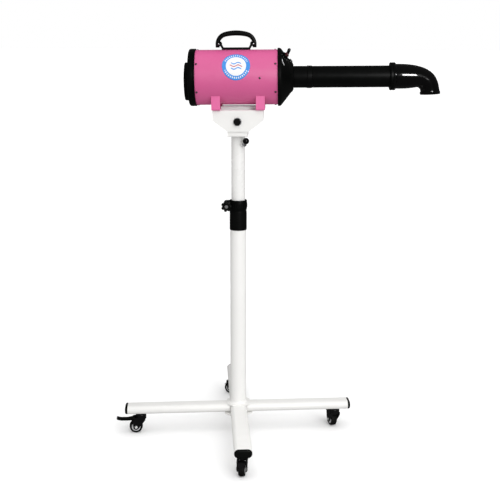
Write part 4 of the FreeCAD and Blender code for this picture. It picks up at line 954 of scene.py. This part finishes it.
def label_material():
    t = Tree("printed_label")
    uv = t.nodes.new("ShaderNodeTexCoord").outputs["UV"]
    split = t.nodes.new("ShaderNodeSeparateXYZ")
    t.links.new(uv, split.inputs[0])
    x = t.math("MULTIPLY", t.math("SUBTRACT", split.outputs[0], 0.5), LABEL_SPAN)
    y = t.math("MULTIPLY", t.math("SUBTRACT", split.outputs[1], 0.5), LABEL_SPAN)
    r = t.math("SQRT", t.math("ADD", t.math("MULTIPLY", x, x), t.math("MULTIPLY", y, y)))
    angle = t.math("ARCTAN2", y, x)

    def band(value, low, high):
        soft = 0.25
        rise = t.spread(value, low - soft, low + soft, 0.0, 1.0)
        return t.math("MULTIPLY", rise, t.spread(value, high - soft, high + soft, 1.0, 0.0))

    blue, white, deep = (0.05, 0.27, 0.72), (0.84, 0.84, 0.84), (0.55, 0.16, 0.20)
    colour = t.mix(t.spread(r, 28.2, 28.7, 0.0, 1.0), white, blue)
    dash = t.spread(t.math("SINE", t.math("MULTIPLY", angle, 36.0)), 0.1, 0.3, 0.0, 1.0)
    top = t.spread(t.math("ABSOLUTE", t.math("SINE", angle)), 0.34, 0.42, 0.0, 1.0)
    colour = t.mix(t.math("MULTIPLY", t.math("MULTIPLY", dash, band(r, 31.6, 36.0)), top), colour, white)
    wave = t.math("MULTIPLY", t.math("SINE", t.math("MULTIPLY", x, 0.26)), 2.4)
    for offset, tint in ((8.0, blue), (0.0, deep), (-8.0, blue)):
        line = band(t.math("SUBTRACT", t.math("SUBTRACT", y, offset), wave), -1.7, 1.7)
        end = 17.0 - abs(offset) * 0.35
        inside = t.spread(t.math("ABSOLUTE", x), end, end + 0.6, 1.0, 0.0)
        colour = t.mix(t.math("MULTIPLY", line, inside), colour, tint)
    t.bump(t.noise(700.0, 2.0), 0.05, 0.0002)
    return t.set(Base_Color=colour, Roughness=0.28, Coat_Weight=0.3, Coat_Roughness=0.1)


# ---------------------------------------------------------------- camera, floor and light

CAMERA_AT, CAMERA_PITCH, CAMERA_ROLL = (0.111, -2.661, 1.164), 80.5, 0.35
CAMERA_LENS, CAMERA_SENSOR, CAMERA_SHIFT = 65.5, 36.0, (-0.0513, -0.10)


def make_camera():
    data = bpy.data.cameras.new("camera")
    data.lens = CAMERA_LENS
    data.sensor_width = CAMERA_SENSOR
    data.shift_x, data.shift_y = CAMERA_SHIFT
    camera = bpy.data.objects.new("camera", data)
    camera.location = CAMERA_AT
    level = Matrix.Rotation(math.radians(CAMERA_PITCH), 4, "X")
    roll = Matrix.Rotation(math.radians(CAMERA_ROLL), 4, "Z")
    camera.rotation_euler = (level @ roll).to_euler()
    bpy.context.scene.collection.objects.link(camera)
    bpy.context.scene.camera = camera


def aimed(light, at, aim):
    light.location = at
    light.rotation_euler = (Vector(aim) - Vector(at)).to_track_quat("-Z", "Y").to_euler()
    bpy.context.scene.collection.objects.link(light)


def area_light(name, at, aim, size, power):
    data = bpy.data.lights.new(name, "AREA")
    data.shape = "RECTANGLE"
    data.size, data.size_y = size
    data.energy = power
    light = bpy.data.objects.new(name, data)
    light.visible_diffuse = False
    aimed(light, at, aim)


def sun_light(name, at, strength, spread):
    data = bpy.data.lights.new(name, "SUN")
    data.energy = strength
    data.angle = math.radians(spread)
    light = bpy.data.objects.new(name, data)
    light.visible_glossy = False
    aimed(light, at, (0, 0, 0))


def make_world(ambient, glossy, background):
    """An even white world: one level as fill light, one in reflections and one seen by the camera."""
    world = bpy.data.worlds.new("studio")
    bpy.context.scene.world = world
    world.use_nodes = True
    nodes, links = world.node_tree.nodes, world.node_tree.links
    nodes.clear()
    path = nodes.new("ShaderNodeLightPath")
    shades = []
    for level in (ambient, glossy, background):
        shade = nodes.new("ShaderNodeBackground")
        shade.inputs[0].default_value = (1, 1, 1, 1)
        shade.inputs[1].default_value = level
        shades.append(shade.outputs[0])
    first, second = nodes.new("ShaderNodeMixShader"), nodes.new("ShaderNodeMixShader")
    out = nodes.new("ShaderNodeOutputWorld")
    links.new(path.outputs["Is Glossy Ray"], first.inputs[0])
    links.new(shades[0], first.inputs[1])
    links.new(shades[1], first.inputs[2])
    links.new(path.outputs["Is Camera Ray"], second.inputs[0])
    links.new(first.outputs[0], second.inputs[1])
    links.new(shades[2], second.inputs[2])
    links.new(second.outputs[0], out.inputs[0])


def make_floor():
    half = 400.0
    mesh = bpy.data.meshes.new("floor")
    corners = [(-half, -half, 0), (half, -half, 0), (half, half, 0), (-half, half, 0)]
    mesh.from_pydata(corners, [], [(0, 1, 2, 3)])
    floor = bpy.data.objects.new("floor", mesh)
    bpy.context.scene.collection.objects.link(floor)
    t = Tree("floor")
    tone = t.spread(t.noise(1.2, 2.0), 0.3, 0.7, 0.0, 1.0)
    material = t.set(Base_Color=t.mix(tone, (0.99, 0.99, 0.99), (0.975, 0.975, 0.975)), Roughness=0.95)
    t.shader.inputs["Specular IOR Level"].default_value = 0.0
    mesh.materials.append(material)
    floor.visible_diffuse = False
    floor.visible_glossy = False


make_camera()
make_world(ambient=0.72, glossy=0.08, background=1.0)
make_floor()
sun_light("sky_panel", at=(0.4, -0.7, 2.6), strength=0.9, spread=60)
sun_light("front_panel", at=(1.2, -2.4, 1.2), strength=1.3, spread=50)
area_light("strip", at=(1.3, -2.5, 1.8), aim=(0.51, 0, 1.09), size=(0.7, 0.6), power=85)
bpy.context.scene.view_settings.view_transform = "Standard"
bpy.context.scene.view_settings.look = "None"

make_legs()
make_poles()
make_lever()
make_collar()
make_height_knob()
make_castors()
make_housing()
make_screws()
make_rear_cap()
make_intake()
make_front_cap()
make_controls()
make_tube()
make_elbow()
make_handle()
make_label()
